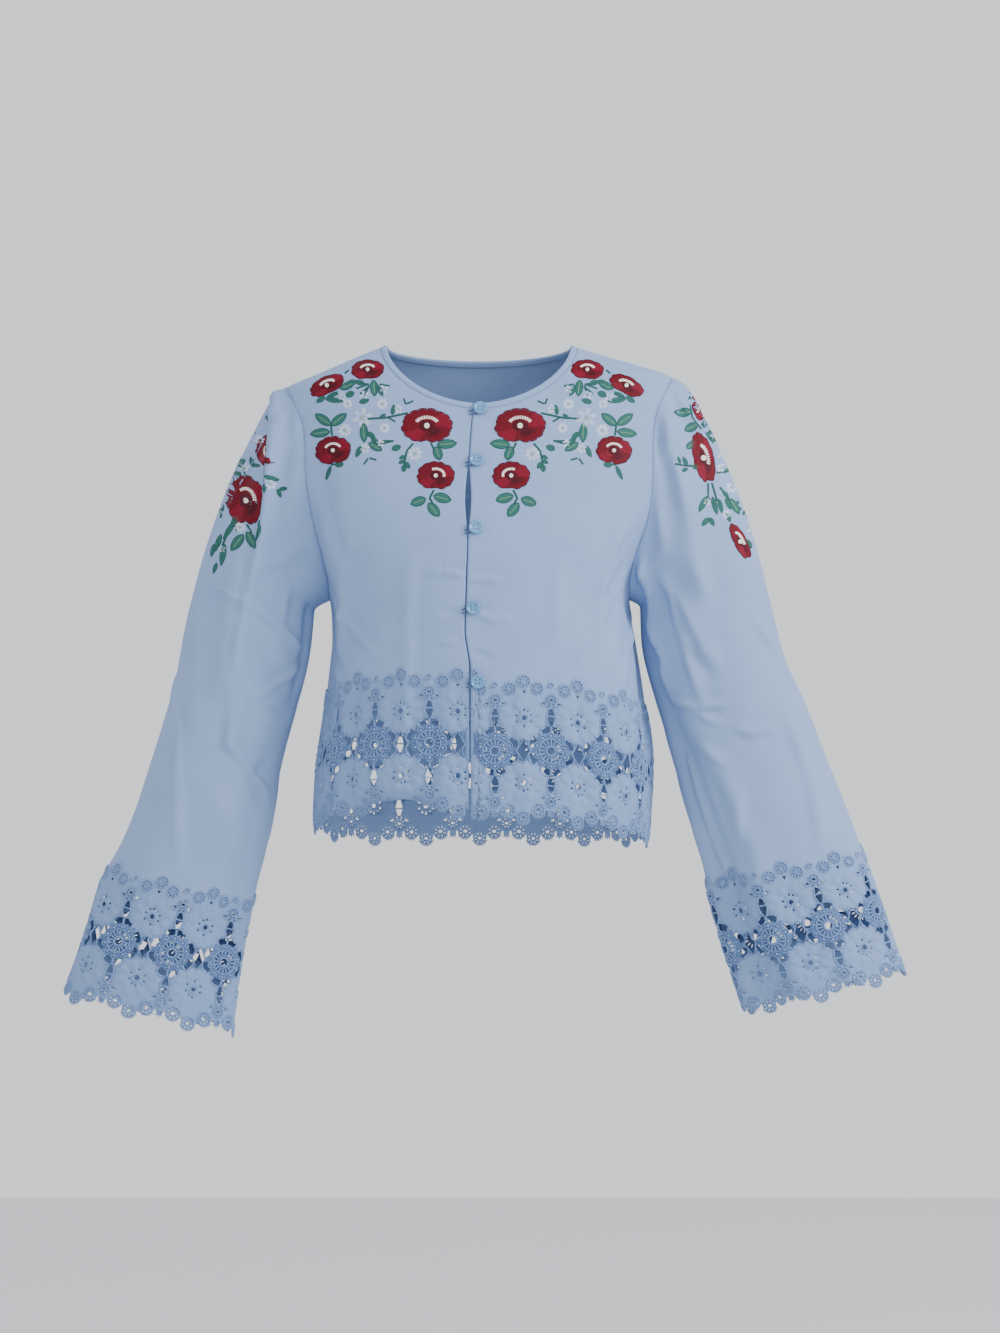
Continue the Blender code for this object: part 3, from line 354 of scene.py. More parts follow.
# Motifs of the wearer's right front on the upright plane through the shoulder seams, as the camera sees them
YOKE = {
    "stems": table(
        "x y to_x to_y",
        (-146.9, -89.5, -148, -78.6), (-65.9, -97.6, -72.2, -105), (-72.2, -105, -73.9, -112.5),
        (-73.9, -112.5, -75.1, -122.3), (-48.1, -97, -40.1, -114.2), (-45.2, -144.1, -49.3, -152.1),
        (-49.3, -152.1, -45.6, -159), (-111.3, -72.9, -92.9, -71.7), (-92.9, -71.7, -71.1, -67.1),
        (-114.7, -83.2, -98.6, -102.7), (-148, -118.8, -138.8, -117.7), (-110.1, -38.4, -121.6, -37.3),
        (-110.1, -39.6, -114.7, -49.9), (-141.1, -47.6, -151.4, -52.2), (-98.6, -98.1, -85.4, -94.7),
    ),
    "leaves": table(
        "x y long wide turn_deg",
        (-156, -73.5, 19, 9, 145), (-140, -73.5, 19, 9, 38), (-158.9, -86.9, 20, 9, 188),
        (-139.4, -118.8, 8, 5, 10), (-151.1, -126.8, 15, 4, 245), (-32, -98.1, 20, 9.5, 5),
        (-41.2, -107.3, 14, 9.5, 290), (-82.6, -101.8, 9, 6, 20), (-60.7, -155.5, 16, 9.5, 200),
        (-36.6, -152.1, 18, 10, -15), (-45.2, -163.8, 17, 10, -50), (-96.3, -70.4, 7, 3.5, 40),
        (-87.2, -73.7, 8, 3, -30), (-85.8, -63.7, 10, 4, 80), (-74.2, -55.4, 6, 2, -70),
        (-69.1, -56.4, 7, 2, 25), (-115.1, -87, 19, 8, -88), (-99.3, -44.3, 13, 4.5, -60),
        (-107.8, -89.2, 9, 5, -35), (-104.1, -94.9, 9, 5, -45), (-103.6, -100.8, 15, 7.5, -30),
        (-120.4, -105.6, 12, 5, 245), (-91.2, -95, 10, 2, 0), (-113, -115.4, 7, 2.5, 235),
        (-106.1, -113.1, 7, 2.5, -15), (-132, -40, 15, 7.5, 203), (-118.7, -36.7, 9, 5, -15),
        (-127.3, -37, 11, 6, 25), (-104.9, -42.1, 16, 8, -85), (-94.3, -39.1, 10, 2.5, -10),
        (-114.7, -44.2, 11, 2.5, 220), (-117, -40.5, 12, 2.5, 200), (-129.1, -48.2, 9, 6, 200),
        (-114.7, -55.1, 10, 5, 15), (-158.3, -53.4, 10, 5, 215), (-144.6, -54.2, 18, 5, -8),
        (-146.9, -49, 13, 3.5, 30), (-132.2, -25.8, 5, 3, 40), (-76.8, -111.3, 6, 3.5, 205),
        (-77.4, -115.9, 6, 3.5, 205), (-71.3, -119.4, 7, 4, -60), (-75.1, -122.3, 7, 5, -95),
    ),
    "blossoms": table(
        "x y radius petals",
        (-117, -71.7, 11, 6), (-96.9, -58, 6, 8), (-94.6, -82.1, 5.5, 8), (-131.4, -58, 5, 8),
        (-134.2, -84.4, 7, 8), (-64.2, -107.9, 8, 8), (-80.8, -63.1, 5, 5), (-114.1, -102.5, 5.5, 6),
        (-98.6, -97.2, 4.5, 5), (-114.7, -49, 5, 4), (-95.2, -43.3, 5, 4), (-136.5, -51.3, 5, 4),
    ),
    "roses": table(
        "x y wide tall turn_deg face_deg",
        (-52.1, -79.8, 53, 36, 0, 90), (-43.2, -129.7, 39, 29, 0, 50), (-145.9, -104.5, 37, 29, 8, 85),
        (-111.3, -23.7, 34, 20, 4, 90), (-152, -39.4, 38, 18, 26, 70),
    ),
}

# Motifs at the top of the wearer's right sleeve
RIGHT_SLEEVE = {
    "stems": table(
        "x y to_x to_y",
        (-230.6, -78, -237.2, -96), (-216, -117, -215.6, -136), (-258.5, -156, -264.3, -173.6),
        (-250.5, -172, -246, -185), (-236, -178, -231, -186), (-217, -172, -222, -186),
        (-254.8, -184.6, -262, -200), (-239, -122, -236, -130), (-264, -196, -272.4, -204),
    ),
    "leaves": table(
        "x y long wide turn_deg",
        (-215.2, -68.7, 10, 4, 110), (-229.9, -82, 12, 6, 120), (-229.9, -115.6, 10, 3.5, 100),
        (-225.5, -118.6, 7, 3.3, 0), (-242.3, -119.3, 15, 6, 50), (-246, -125, 13, 6, -50),
        (-246, -196.3, 20, 9, 235), (-230.6, -194, 20, 9, -60), (-221.8, -188, 17, 4, 250),
        (-254.8, -184.6, 20, 5, 238), (-261.4, -208.8, 22, 6, 260), (-266.5, -197, 18, 5, 250),
        (-272.4, -204.4, 13, 4, 255), (-270.2, -222, 11, 3.5, 250), (-207, -132.5, 13, 4, 170),
        (-213.8, -142.8, 9, 4, -80), (-200.5, -147, 9, 4, -65), (-196, -142.5, 9, 3.5, 5),
        (-249, -176, 13, 5, 240), (-219.5, -177, 7, 4, 60),
    ),
    "blossoms": table(
        "x y radius petals",
        (-222.5, -75.3, 7.5, 8), (-237.2, -121.5, 5, 6), (-207.9, -139, 5.5, 6),
        (-243, -181, 5.5, 8), (-262, -203, 4, 5), (-222, -93, 5, 8),
    ),
    "roses": table(
        "x y wide tall turn_deg face_deg",
        (-211.5, -104, 26, 33, 0, 170), (-236.5, -154.2, 37, 51, 0, 62),
    ),
}

# Pleat at the top of the wearer's right sleeve, under which the motifs run: distance down and its edge
PLEAT_EDGE = table(
    "down across",
    (40, -204), (62, -210.5), (88, -211), (112, -213.5), (124, -190), (260, -190),
)

# Motifs at the top of the wearer's left sleeve
LEFT_SLEEVE = {
    "stems": table(
        "x y to_x to_y",
        (208.6, -44.5, 213, -71), (213, -71, 222.5, -82.7), (195.4, -118.6, 215.9, -120),
        (229.1, -137, 229.1, -151.6), (229.1, -151.6, 236, -160), (232.8, -137, 238, -155),
        (240.9, -141.3, 259.9, -167.7), (237.9, -126.7, 251.9, -125.2), (263.5, -194, 270, -196),
        (222.5, -76.8, 237, -98), (226, -76.8, 238.5, -96),
    ),
    "leaves": table(
        "x y long wide turn_deg",
        (203.5, -66.5, 19, 8.5, 183), (212.3, -81.2, 15, 9, 205), (231.3, -90.7, 19, 4.5, -58),
        (236.5, -87, 13, 3.4, -62), (212.3, -98.8, 11, 7, 40), (200, -114.2, 7, 3.5, 110),
        (206.4, -115, 9, 4, 115), (205.7, -123.7, 7, 3.5, 205), (224, -158, 17, 6, 242),
        (235.7, -159.7, 18, 5, -75), (241.5, -160.4, 15, 4, -75), (255.5, -160.4, 18, 7, -58),
        (246.7, -148.7, 9, 3.5, -50), (265.8, -169, 8, 3.3, -60), (226.2, -175.8, 10, 5, 230),
        (232.8, -175.8, 9, 4.5, -60), (249.7, -172, 8, 4, -70), (270, -198, 10, 4, -60),
        (248.2, -122.3, 10, 5, 60), (217, -121, 6, 4, 200), (249, -158, 12, 4, -65),
    ),
    "blossoms": table(
        "x y radius petals",
        (242.3, -110.5, 4.5, 6), (252.6, -141.3, 6, 8), (228.4, -156, 4.5, 6), (270.9, -186.8, 4.5, 8),
        (242, -122, 5, 8), (247, -168, 5, 8),
    ),
    "roses": table(
        "x y wide tall turn_deg face_deg",
        (218.9, -62.1, 11, 29, 21, 165), (224.4, -112, 21, 54, 14, 20), (261.1, -195.6, 13, 41, 27, 30),
    ),
}


def curve_through(x, xs, ys):
    """Smooth curve through a table: cubic between rows, slopes from the neighbours."""
    order = np.argsort(xs)
    xs, ys = xs[order], ys[order]
    x = np.clip(np.asarray(x, dtype=float), xs[0], xs[-1])
    slopes = np.gradient(ys, xs)
    i = np.clip(np.searchsorted(xs, x) - 1, 0, len(xs) - 2)
    width = xs[i + 1] - xs[i]
    t = (x - xs[i]) / width
    return ((2 * t**3 - 3 * t**2 + 1) * ys[i] + (t**3 - 2 * t**2 + t) * width * slopes[i]
            + (3 * t**2 - 2 * t**3) * ys[i + 1] + (t**3 - t**2) * width * slopes[i + 1])


def read(rows, column, at, key="height"):
    """A column of a table, smoothed, at places along its key column."""
    return curve_through(at, rows[key], rows[column])


def wrapped(angle):
    """Angles within half a turn of the front."""
    return (np.asarray(angle, float) + np.pi) % (2 * np.pi) - np.pi


def lengths_along(points):
    """Length along a line of points, at each of them."""
    return np.concatenate([[0], np.cumsum(np.linalg.norm(np.diff(points, axis=0), axis=1))])


def soft_step(x):
    """Soft ramp from 0 to 1."""
    x = np.clip(x, 0, 1)
    return x * x * (3 - 2 * x)


def unit(vectors):
    """Vectors scaled to length one."""
    return vectors / np.maximum(np.linalg.norm(vectors, axis=-1, keepdims=True), 1e-12)


def oval(angle, across, depth, power):
    """Distance from the middle of a squared oval at an angle from its front."""
    return (np.abs(np.cos(angle) / depth) ** power + np.abs(np.sin(angle) / across) ** power) ** (-1 / power)


def fold_offset(flat, run, folds, scale, place):
    """Ridges and troughs of a fold table at surface places, as an offset outwards.

    A table with a lean column gives creases: narrow, with a shallow dip on both sides, steeper on one.
    """
    total = np.zeros(np.broadcast(flat, run).shape)
    for k in range(len(folds["width"])):
        start = np.array([folds["from_deg"][k] * scale, folds["from_" + place][k]])
        way = np.array([folds["to_deg"][k] * scale, folds["to_" + place][k]]) - start
        along = np.clip(((flat - start[0]) * way[0] + (run - start[1]) * way[1]) / (way @ way), 0, 1)
        gap = np.hypot(flat - start[0] - along * way[0], run - start[1] - along * way[1])
        taper = 0.35 + 0.65 * np.sin(np.pi * along)
        share = (gap / folds["width"][k]) ** 2
        profile = np.exp(-share)
        if "lean" in folds:
            lean = folds["lean"][k] / MM
            side = way[0] * (run - start[1]) - way[1] * (flat - start[0])
            steep = np.where(side * lean > 0, 1 - 0.65 * abs(lean), 1)
            profile = CREASE_DEPTH * (np.exp(-share / steep**2) - 0.35 * np.exp(-share / 5))
        total = total + folds["depth"][k] * taper * profile
    return total


def moved_out(surface, u, v, out, way=1):
    """Points of surface(u, v) moved along its normal; way is -1 where u and v make it point inwards."""
    step = 0.5 * MM
    turn = step / FLAT_RADIUS
    across = surface(u + turn, v) - surface(u - turn, v)
    up = surface(u, v + step) - surface(u, v - step)
    return surface(u, v) + unit(np.cross(across, up)) * way * np.reshape(out, np.shape(out) + (1,))


# Body surface

def ring_sizes(height, side):
    """Half-width on the given side, front depth and back depth at a height."""
    half = np.where(side < 0, read(BODY, "right", height), read(BODY, "left", height))
    return half, read(BODY, "front", height), read(BODY, "back", height)


def plain_body(angle, height):
    """Body surface without folds."""
    angle, height = np.broadcast_arrays(np.asarray(angle, float), np.asarray(height, float))
    half, front, back = ring_sizes(height, np.sin(angle))
    reach = oval(angle, half, np.where(np.cos(angle) >= 0, front, back), SQUARENESS)
    x, y = reach * np.sin(angle), -reach * np.cos(angle)
    tilt = np.sign(x) * soft_step((np.abs(x) - NECK_HALF) / (SHOULDER_HALF - NECK_HALF))
    tilt = tilt * SHOULDER_TILT * soft_step((height - UNDERARM_HEIGHT) / (SHOULDER_HEIGHT - UNDERARM_HEIGHT))
    return np.stack([x, y, height + tilt], axis=-1)


def body(angle, height, creased=True):
    """Body surface with its folds and, where asked, its finer creases."""
    flat = wrapped(angle) * FLAT_RADIUS
    folds = fold_offset(flat, height, BODY_FOLDS, FLAT_RADIUS, "height")
    if creased:
        folds = folds + fold_offset(flat, height, BODY_CREASES, FLAT_RADIUS, "height")
    return moved_out(plain_body, angle, height, folds)


def angle_at(x, height, front=True):
    """Angle round the body of the place at x on the front or the back."""
    half, front_depth, back_depth = ring_sizes(height, x)
    depth = front_depth if front else -back_depth
    share = np.clip(1 - (np.abs(x) / half) ** SQUARENESS, 0, 1) ** (1 / SQUARENESS)
    return np.arctan2(x, depth * share)


def neck_edge(turn, width, front):
    """Neckline at `width` below its edge: turn runs from 0 at the shoulder to 90 degrees at the middle."""
    half = NECK_HALF + width
    top = curve_through(half, BODY["left"][:4], BODY["height"][:4])
    drop = (NECK_DROP_FRONT if front else NECK_DROP_BACK) + width + top
    x = half * np.sign(np.cos(turn)) * np.abs(np.cos(turn)) ** (2 / NECK_POWER)
    return x, top - drop * np.abs(np.sin(turn)) ** (2 / NECK_POWER)


def armhole(turn, side):
    """Armhole seam as angle and height: turn is 0 at the front, 90 degrees at the shoulder tip."""
    middle = (SHOULDER_HEIGHT + UNDERARM_HEIGHT) / 2
    height = middle + (SHOULDER_HEIGHT - middle) * np.sin(turn)
    half, front, back = ring_sizes(height, np.full(np.shape(turn), side))
    y = ARMHOLE_DEPTH * np.cos(turn)
    depth = np.where(y >= 0, front, back)
    x = half * (1 - (np.abs(y) / depth) ** SQUARENESS) ** (1 / SQUARENESS)
    return np.arctan2(side * x, y), height


# Sleeve surface

def sleeve_rows(side):
    """A sleeve's table and the middle line of its sections."""
    rows = SLEEVE_RIGHT if side < 0 else SLEEVE_LEFT
    return rows, np.stack([rows["out_x"] + rows["in_x"], rows["out_z"] + rows["in_z"]]) / 2


def sleeve_section(side, round_angle, run):
    """Regular part of a sleeve at a run below section one."""
    rows, middle = sleeve_rows(side)
    runs = np.concatenate([[0], np.cumsum(np.hypot(*np.diff(middle, axis=1)))])
    size = {name: curve_through(run, runs, values) for name, values in rows.items()}
    below = np.minimum(run, 0)
    first = unit((middle[:, 1] - middle[:, 0])[None, :])[0]
    reach = oval(round_angle, 1, 1, SLEEVE_SQUARENESS)
    out, ahead = reach * np.sin(round_angle), reach * np.cos(round_angle)
    x = (size["out_x"] + size["in_x"]) / 2 + out * (size["out_x"] - size["in_x"]) / 2 + below * first[0]
    z = (size["out_z"] + size["in_z"]) / 2 + out * (size["out_z"] - size["in_z"]) / 2 + below * first[1]
    y = size["middle"] - ahead * np.where(ahead >= 0, size["front"], size["back"])
    return np.stack(np.broadcast_arrays(x, y, z), axis=-1)


def section_run(side, row):
    """Run from section one to a row of the sleeve's table."""
    return np.sum(np.hypot(*np.diff(sleeve_rows(side)[1], axis=1))[:row])


def sleeve_start(side, round_angle):
    """Start points of the sleeve beside the armhole seam, and the way it leaves them."""
    step = 0.02
    seam = body(*armhole(round_angle, side))
    along = body(*armhole(round_angle + step, side)) - body(*armhole(round_angle - step, side))
    angle, height = armhole(round_angle, side)
    normal = unit(moved_out(body, angle, height, np.full(np.shape(angle), MM)) - seam)
    beyond = unit(np.cross(normal, along))
    centre = np.mean(body(*armhole(np.linspace(0, 2 * np.pi, 24, endpoint=False), side)), axis=0)
    beyond = beyond * np.sign(np.sum(beyond * (centre - seam), axis=-1, keepdims=True))
    bend = np.radians(30 + 120 * ((1 - np.sin(round_angle)) / 2) ** 2.2)[..., None]
    return seam + beyond * SIDE_GAP, np.cos(bend) * beyond + np.sin(bend) * normal


@lru_cache(maxsize=2)
def head_ring(side):
    """Start points of a sleeve's head and the ways it leaves them, at fine steps round the armhole."""
    angles = np.radians(np.arange(-180, 180.5, 0.5))
    return angles, *sleeve_start(side, angles)


def sleeve_head(side, round_angle, run):
    """Curved head of a sleeve from the armhole down to section one."""
    turned = wrapped(round_angle)
    angles, starts, ways = head_ring(side)
    start = np.stack([np.interp(turned, angles, starts[:, k]) for k in range(3)], axis=-1)
    leave = np.stack([np.interp(turned, angles, ways[:, k]) for k in range(3)], axis=-1)
    t = np.clip(1 + run / SLEEVE_HEAD, 0, 1)[..., None]
    end = sleeve_section(side, round_angle, 0 * run)
    arrive = unit(sleeve_section(side, round_angle, 0 * run + 5 * MM) - end)
    span = np.linalg.norm(end - start, axis=-1, keepdims=True)
    return ((2 * t**3 - 3 * t**2 + 1) * start + (t**3 - 2 * t**2 + t) * 0.35 * span * leave
            + (3 * t**2 - 2 * t**3) * end + (t**3 - t**2) * span * arrive)


def plain_sleeve(side, round_angle, run):
    """Sleeve surface without folds: its head, then its sections."""
    round_angle, run = np.broadcast_arrays(np.asarray(round_angle, float), np.asarray(run, float))
    points = sleeve_section(side, round_angle, np.maximum(run, 0))
    above = run < 0
    points[above] = sleeve_head(side, round_angle[above], run[above])
    return points


def sleeve(side, round_angle, run, creased=True):
    """Sleeve surface with its folds, its head's gathers and, where asked, its finer creases."""
    turned = wrapped(round_angle)
    offset = 0
    tables = ((SLEEVE_FOLDS_RIGHT, SLEEVE_CREASES_RIGHT) if side < 0
              else (SLEEVE_FOLDS_LEFT, SLEEVE_CREASES_LEFT))
    for folds in tables if creased else tables[:1]:
        offset = offset + fold_offset(turned * SLEEVE_RADIUS, run, folds, SLEEVE_RADIUS, "run")
    over_top = soft_step((np.sin(turned) - 0.25) / 0.5)
    near_seam = soft_step((run + SLEEVE_HEAD) / (10 * MM)) * soft_step((-30 * MM - run) / (30 * MM))
    offset = offset * soft_step((run + SLEEVE_HEAD) / (18 * MM))
    offset = offset + HEAD_GATHER_DEPTH * over_top * near_seam * np.cos(2 * HEAD_GATHERS * turned)
    return moved_out(partial(plain_sleeve, side), round_angle, run, offset, -side)


# Lace surfaces

def wheel_row(angle):
    """Height of the hem lace's wheel row at an angle round the body."""
    turned = wrapped(angle)
    return np.where(turned < 0, read(WHEEL_ROW, "right", np.abs(turned), "round_deg"),
                    read(WHEEL_ROW, "left", np.abs(turned), "round_deg"))


def hem(angle, rise):
    """Body surface by the rise above the wheel row; part of the wearer's right front rolls under."""
    turned = wrapped(angle)
    share = soft_step(1.3 - 1.3 * np.abs(turned - HEM_CURL_MIDDLE) / HEM_CURL_REACH)
    curve = np.maximum(share, 0.01) / HEM_CURL_RADIUS
    below = np.maximum(HEM_CURL_START - rise, 0)
    down, inward = np.sin(below * curve) / curve, (1 - np.cos(below * curve)) / curve
    point = body(angle, wheel_row(angle) + np.maximum(rise, HEM_CURL_START) - down)
    towards = unit(point * np.array([1, 1, 0]))
    return point - towards * inward[..., None]


def cuff(side, round_angle, rise):
    """Sleeve surface by the rise above the cuff's wheel row."""
    return sleeve(side, round_angle, section_run(side, CUFF_SECTION) - rise)


def arc_angles(points_at, length, reference):
    """Angles at lengths along a ring, measured from a reference angle."""
    angles = np.linspace(-1.5 * np.pi, 2.5 * np.pi, 1441)
    run = lengths_along(points_at(angles))
    return np.interp(np.interp(reference, angles, run) + length, run, angles)


def ring_length(points_at, start, end):
    """Length of a ring between two angles."""
    points = points_at(np.linspace(start, end, 721))
    return np.sum(np.linalg.norm(np.diff(points, axis=0), axis=1))


# Settings

class BlouseSizes(bpy.types.PropertyGroup):
    """Sizes and colours of the blouse's surface."""
    cloth_step: bpy.props.FloatProperty(
        name="Cloth mesh", description="Spacing of the cloth's points", default=3 * MM, min=2 * MM,
        unit="LENGTH")
    cloth_wall: bpy.props.FloatProperty(
        name="Cloth thickness", description="Thickness of the shown cloth", default=0.8 * MM, unit="LENGTH")
    lace_wall: bpy.props.FloatProperty(
        name="Lace ground", description="Thickness of the lace's ground", default=0.6 * MM, unit="LENGTH")
    lace_relief: bpy.props.FloatProperty(
        name="Lace relief", description="Height factor of the lace's cords and pads", default=1.4, min=0.1)
    stitch_width: bpy.props.FloatProperty(
        name="Embroidery stitch", description="Width of an embroidery stitch", default=1.15 * MM,
        unit="LENGTH")
    stitch_height: bpy.props.FloatProperty(
        name="Stitch height", description="Height of an embroidery stitch", default=0.4 * MM, unit="LENGTH")
    seam_stitch: bpy.props.FloatProperty(
        name="Seam stitch", description="Length of a sewing stitch", default=2.4 * MM, unit="LENGTH")


class StudioSettings(bpy.types.PropertyGroup):
    """Camera, floor and light."""
    lens: bpy.props.FloatProperty(
        name="Lens", description="Focal length of the camera in millimetres", default=86.4)
    distance: bpy.props.FloatProperty(
        name="Distance", description="Camera in front of the shoulders", default=CAMERA_DISTANCE,
        unit="LENGTH")
    camera_height: bpy.props.FloatProperty(
        name="Camera height", description="Height of the level camera", default=CAMERA_HEIGHT,
        unit="LENGTH")
    floor_height: bpy.props.FloatProperty(
        name="Floor height", description="Height of the floor", default=-1.35, unit="LENGTH")
    key_light: bpy.props.FloatProperty(
        name="Key light", description="Power of the large front light", default=18, unit="POWER")
    side_light: bpy.props.FloatProperty(
        name="Side light", description="Power of the light from the photo's right", default=66, unit="POWER")
    world_light: bpy.props.FloatProperty(
        name="World light", description="Strength of the even light from all round", default=1.25)


# Materials

def linear(hex_colour):
    """An sRGB hex colour as linear red, green, blue and alpha."""
    parts = [int(hex_colour[i:i + 2], 16) / 255 for i in (1, 3, 5)]
    return tuple(c / 12.92 if c <= 0.04045 else ((c + 0.055) / 1.055) ** 2.4 for c in parts) + (1.0,)


def add_node(tree, kind, inputs=None, **settings):
    """A node with its settings; an input is linked when it's given a socket, and set otherwise."""
    node = tree.nodes.new(kind)
    for name, value in settings.items():
        setattr(node, name, value)
    for name, value in (inputs or {}).items():
        if isinstance(value, bpy.types.NodeSocket):
            tree.links.new(value, node.inputs[name])
        else:
            node.inputs[name].default_value = value
    return node


def noise(tree, place, scale, detail=2.0, distortion=0.0):
    """Noise at places, as a factor."""
    return add_node(tree, "ShaderNodeTexNoise", {
        "Vector": place, "Scale": scale, "Detail": detail, "Distortion": distortion}).outputs[0]


def blend(tree, factor, first, second):
    """A colour between two sRGB hex colours by a factor."""
    mix = add_node(tree, "ShaderNodeMix", data_type="RGBA")
    tree.links.new(factor, mix.inputs[0])
    mix.inputs[6].default_value = linear(first)
    mix.inputs[7].default_value = linear(second)
    return mix.outputs[2]


def bump(tree, height, strength, distance):
    """A bumped normal from a height."""
    return add_node(tree, "ShaderNodeBump", {
        "Height": height, "Strength": strength, "Distance": distance}).outputs[0]


def new_material(name):
    """An empty node material and its node tree."""
    material = bpy.data.materials.new(name)
    material.use_nodes = True
    material.node_tree.nodes.clear()
    return material, material.node_tree


def woven_cotton(name, colour, dark, thread, raised):
    """Plain-woven cotton: a matte cloth whose threads and slubs show as a fine uneven grain.

    Real threads are 0.25 mm apart, too fine for the render, so the grain is drawn at `thread`.
    """
    if name in bpy.data.materials:
        return bpy.data.materials[name]
    material, tree = new_material(name)
    place = add_node(tree, "ShaderNodeUVMap", uv_map="cloth").outputs["UV"]
    grain = add_node(tree, "ShaderNodeMath", operation="ADD")
    for k, scale in enumerate(((1 / (6 * thread), 1 / thread, 1), (1 / thread, 1 / (6 * thread), 1))):
        threads = add_node(tree, "ShaderNodeMapping", {"Vector": place, "Scale": scale})
        tree.links.new(noise(tree, threads.outputs[0], 1.0), grain.inputs[k])
    add_surface(tree, {
        "Base Color": blend(tree, noise(tree, place, 22.0, 3.0), dark, colour),
        "Normal": bump(tree, grain.outputs[0], 0.35, raised), "Roughness": 0.9,
        "Specular IOR Level": 0.2, "Sheen Weight": 0.05, "Sheen Roughness": 0.5,
    })
    return material


def spun_thread(name, colour, roughness, sheen=0.1, shine=0.35):
    """Spun or viscose thread: a satin surface whose twist catches the light in small uneven flecks."""
    if name in bpy.data.materials:
        return bpy.data.materials[name]
    material, tree = new_material(name)
    place = add_node(tree, "ShaderNodeTexCoord").outputs["Object"]
    fleck = noise(tree, place, 900.0)
    tone = add_node(tree, "ShaderNodeMapRange", {"Value": fleck, "To Min": 0.72, "To Max": 1.2})
    shade = add_node(tree, "ShaderNodeVectorMath", operation="SCALE")
    shade.inputs[0].default_value = linear(colour)[:3]
    tree.links.new(tone.outputs[0], shade.inputs["Scale"])
    add_surface(tree, {
        "Base Color": shade.outputs[0], "Normal": bump(tree, fleck, 0.3, 0.3 * MM),
        "Roughness": roughness, "Specular IOR Level": shine, "Sheen Weight": sheen,
    })
    return material


def pearl_plastic(name, colour, light):
    """Cast polyester with pearl essence: glossy, with soft clouds of a lighter tone."""
    if name in bpy.data.materials:
        return bpy.data.materials[name]
    material, tree = new_material(name)
    place = add_node(tree, "ShaderNodeTexCoord").outputs["Object"]
    cloud = noise(tree, place, 180.0, 2.0, 1.5)
    add_surface(tree, {"Base Color": blend(tree, cloud, colour, light), "Roughness": 0.22, "IOR": 1.55,
                       "Coat Weight": 0.4})
    return material


def add_surface(tree, inputs):
    """The Principled shader and the output of a material."""
    shader = add_node(tree, "ShaderNodeBsdfPrincipled", inputs)
    add_node(tree, "ShaderNodeOutputMaterial", {"Surface": shader.outputs[0]})


def blouse_cotton():
    """Dyed cotton lawn of the fronts, back and sleeves."""
    return woven_cotton("dyed_cotton_lawn", CLOTH_COLOUR, CLOTH_SHADE, 0.9 * MM, 0.25 * MM)


def lace_cotton():
    """Cotton cords and pads of the machine-made lace, dyed with the cloth."""
    return spun_thread("mercerised_cotton_lace", LACE_COLOUR, 0.8, 0.05, 0.2)


def painted_shade_ground():
    """The lace's ground round its wheels in a darker colour: painted shade between the cords and in the open
    work.
    """
    return spun_thread("cotton_lace_ground", LACE_PAINTED_SHADE, 0.9, 0.0, 0.15)


def embroidery_thread(colour_name):
    """Viscose embroidery thread in one of the named colours."""
    return spun_thread(f"viscose_thread_{colour_name}", THREADS[colour_name], 0.6, 0.0, 0.2)


# Meshes

def add_piece(name, points, faces, material, uv=None):
    """A smooth mesh object at the origin that rides on the blouse's body."""
    mesh = bpy.data.meshes.new(name)
    mesh.from_pydata(np.asarray(points).tolist(), [], faces)
    mesh.materials.append(material)
    mesh.shade_smooth()
    if uv is not None:
        corners = np.array([loop.vertex_index for loop in mesh.loops])
        layer = mesh.uv_layers.new(name="cloth")
        layer.data.foreach_set("uv", np.asarray(uv)[corners].astype(np.float32).ravel())
    piece = bpy.data.objects.new(name, mesh)
    bpy.context.scene.collection.objects.link(piece)
    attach(piece, "root")
    return piece


def thicken(piece, wall):
    """Thickness inwards from a sheet's outer side."""
    solid = piece.modifiers.new("wall", "SOLIDIFY")
    solid.thickness = wall
    solid.offset = -1
    solid.use_even_offset = False


def evenly(start, end, step):
    """Evenly spaced values from start to end, no further apart than step."""
    return np.linspace(start, end, max(2, int(np.ceil(abs(end - start) / step)) + 1))


def joined(*runs):
    """One closed outline of (u, v) runs, whose shared end points appear once."""
    return np.concatenate([np.stack(np.broadcast_arrays(*run), axis=-1)[:-1] for run in runs])


def within(points, outline):
    """Whether each point lies inside an outline."""
    a, b = outline, np.roll(outline, -1, axis=0)
    p = points[:, None, :]
    crosses = (a[:, 1] > p[..., 1]) != (b[:, 1] > p[..., 1])
    rise = np.where(b[:, 1] == a[:, 1], 1, b[:, 1] - a[:, 1])
    left = p[..., 0] < a[:, 0] + (p[..., 1] - a[:, 1]) * (b[:, 0] - a[:, 0]) / rise
    return np.sum(crosses & left, axis=1) % 2 == 1


def spread_inside(outline, step):
    """Staggered points inside an outline, away from its edge."""
    low, high = outline.min(axis=0), outline.max(axis=0)
    rows = np.arange(low[1] + step / 2, high[1], step * 0.87)
    points = np.array([(x + step / 2 * (k % 2), y) for k, y in enumerate(rows)
                       for x in np.arange(low[0], high[0], step)])
    points = points[within(points, outline)]
    start, way = outline, np.roll(outline, -1, axis=0) - outline
    length = np.maximum(np.sum(way * way, axis=-1), 1e-12)
    gap = np.full(len(points), np.inf)
    for k in range(len(start)):
        share = np.clip(((points - start[k]) @ way[k]) / length[k], 0, 1)
        gap = np.minimum(gap, np.linalg.norm(points - start[k] - share[:, None] * way[k], axis=1))
    return points[gap > step * 0.4]


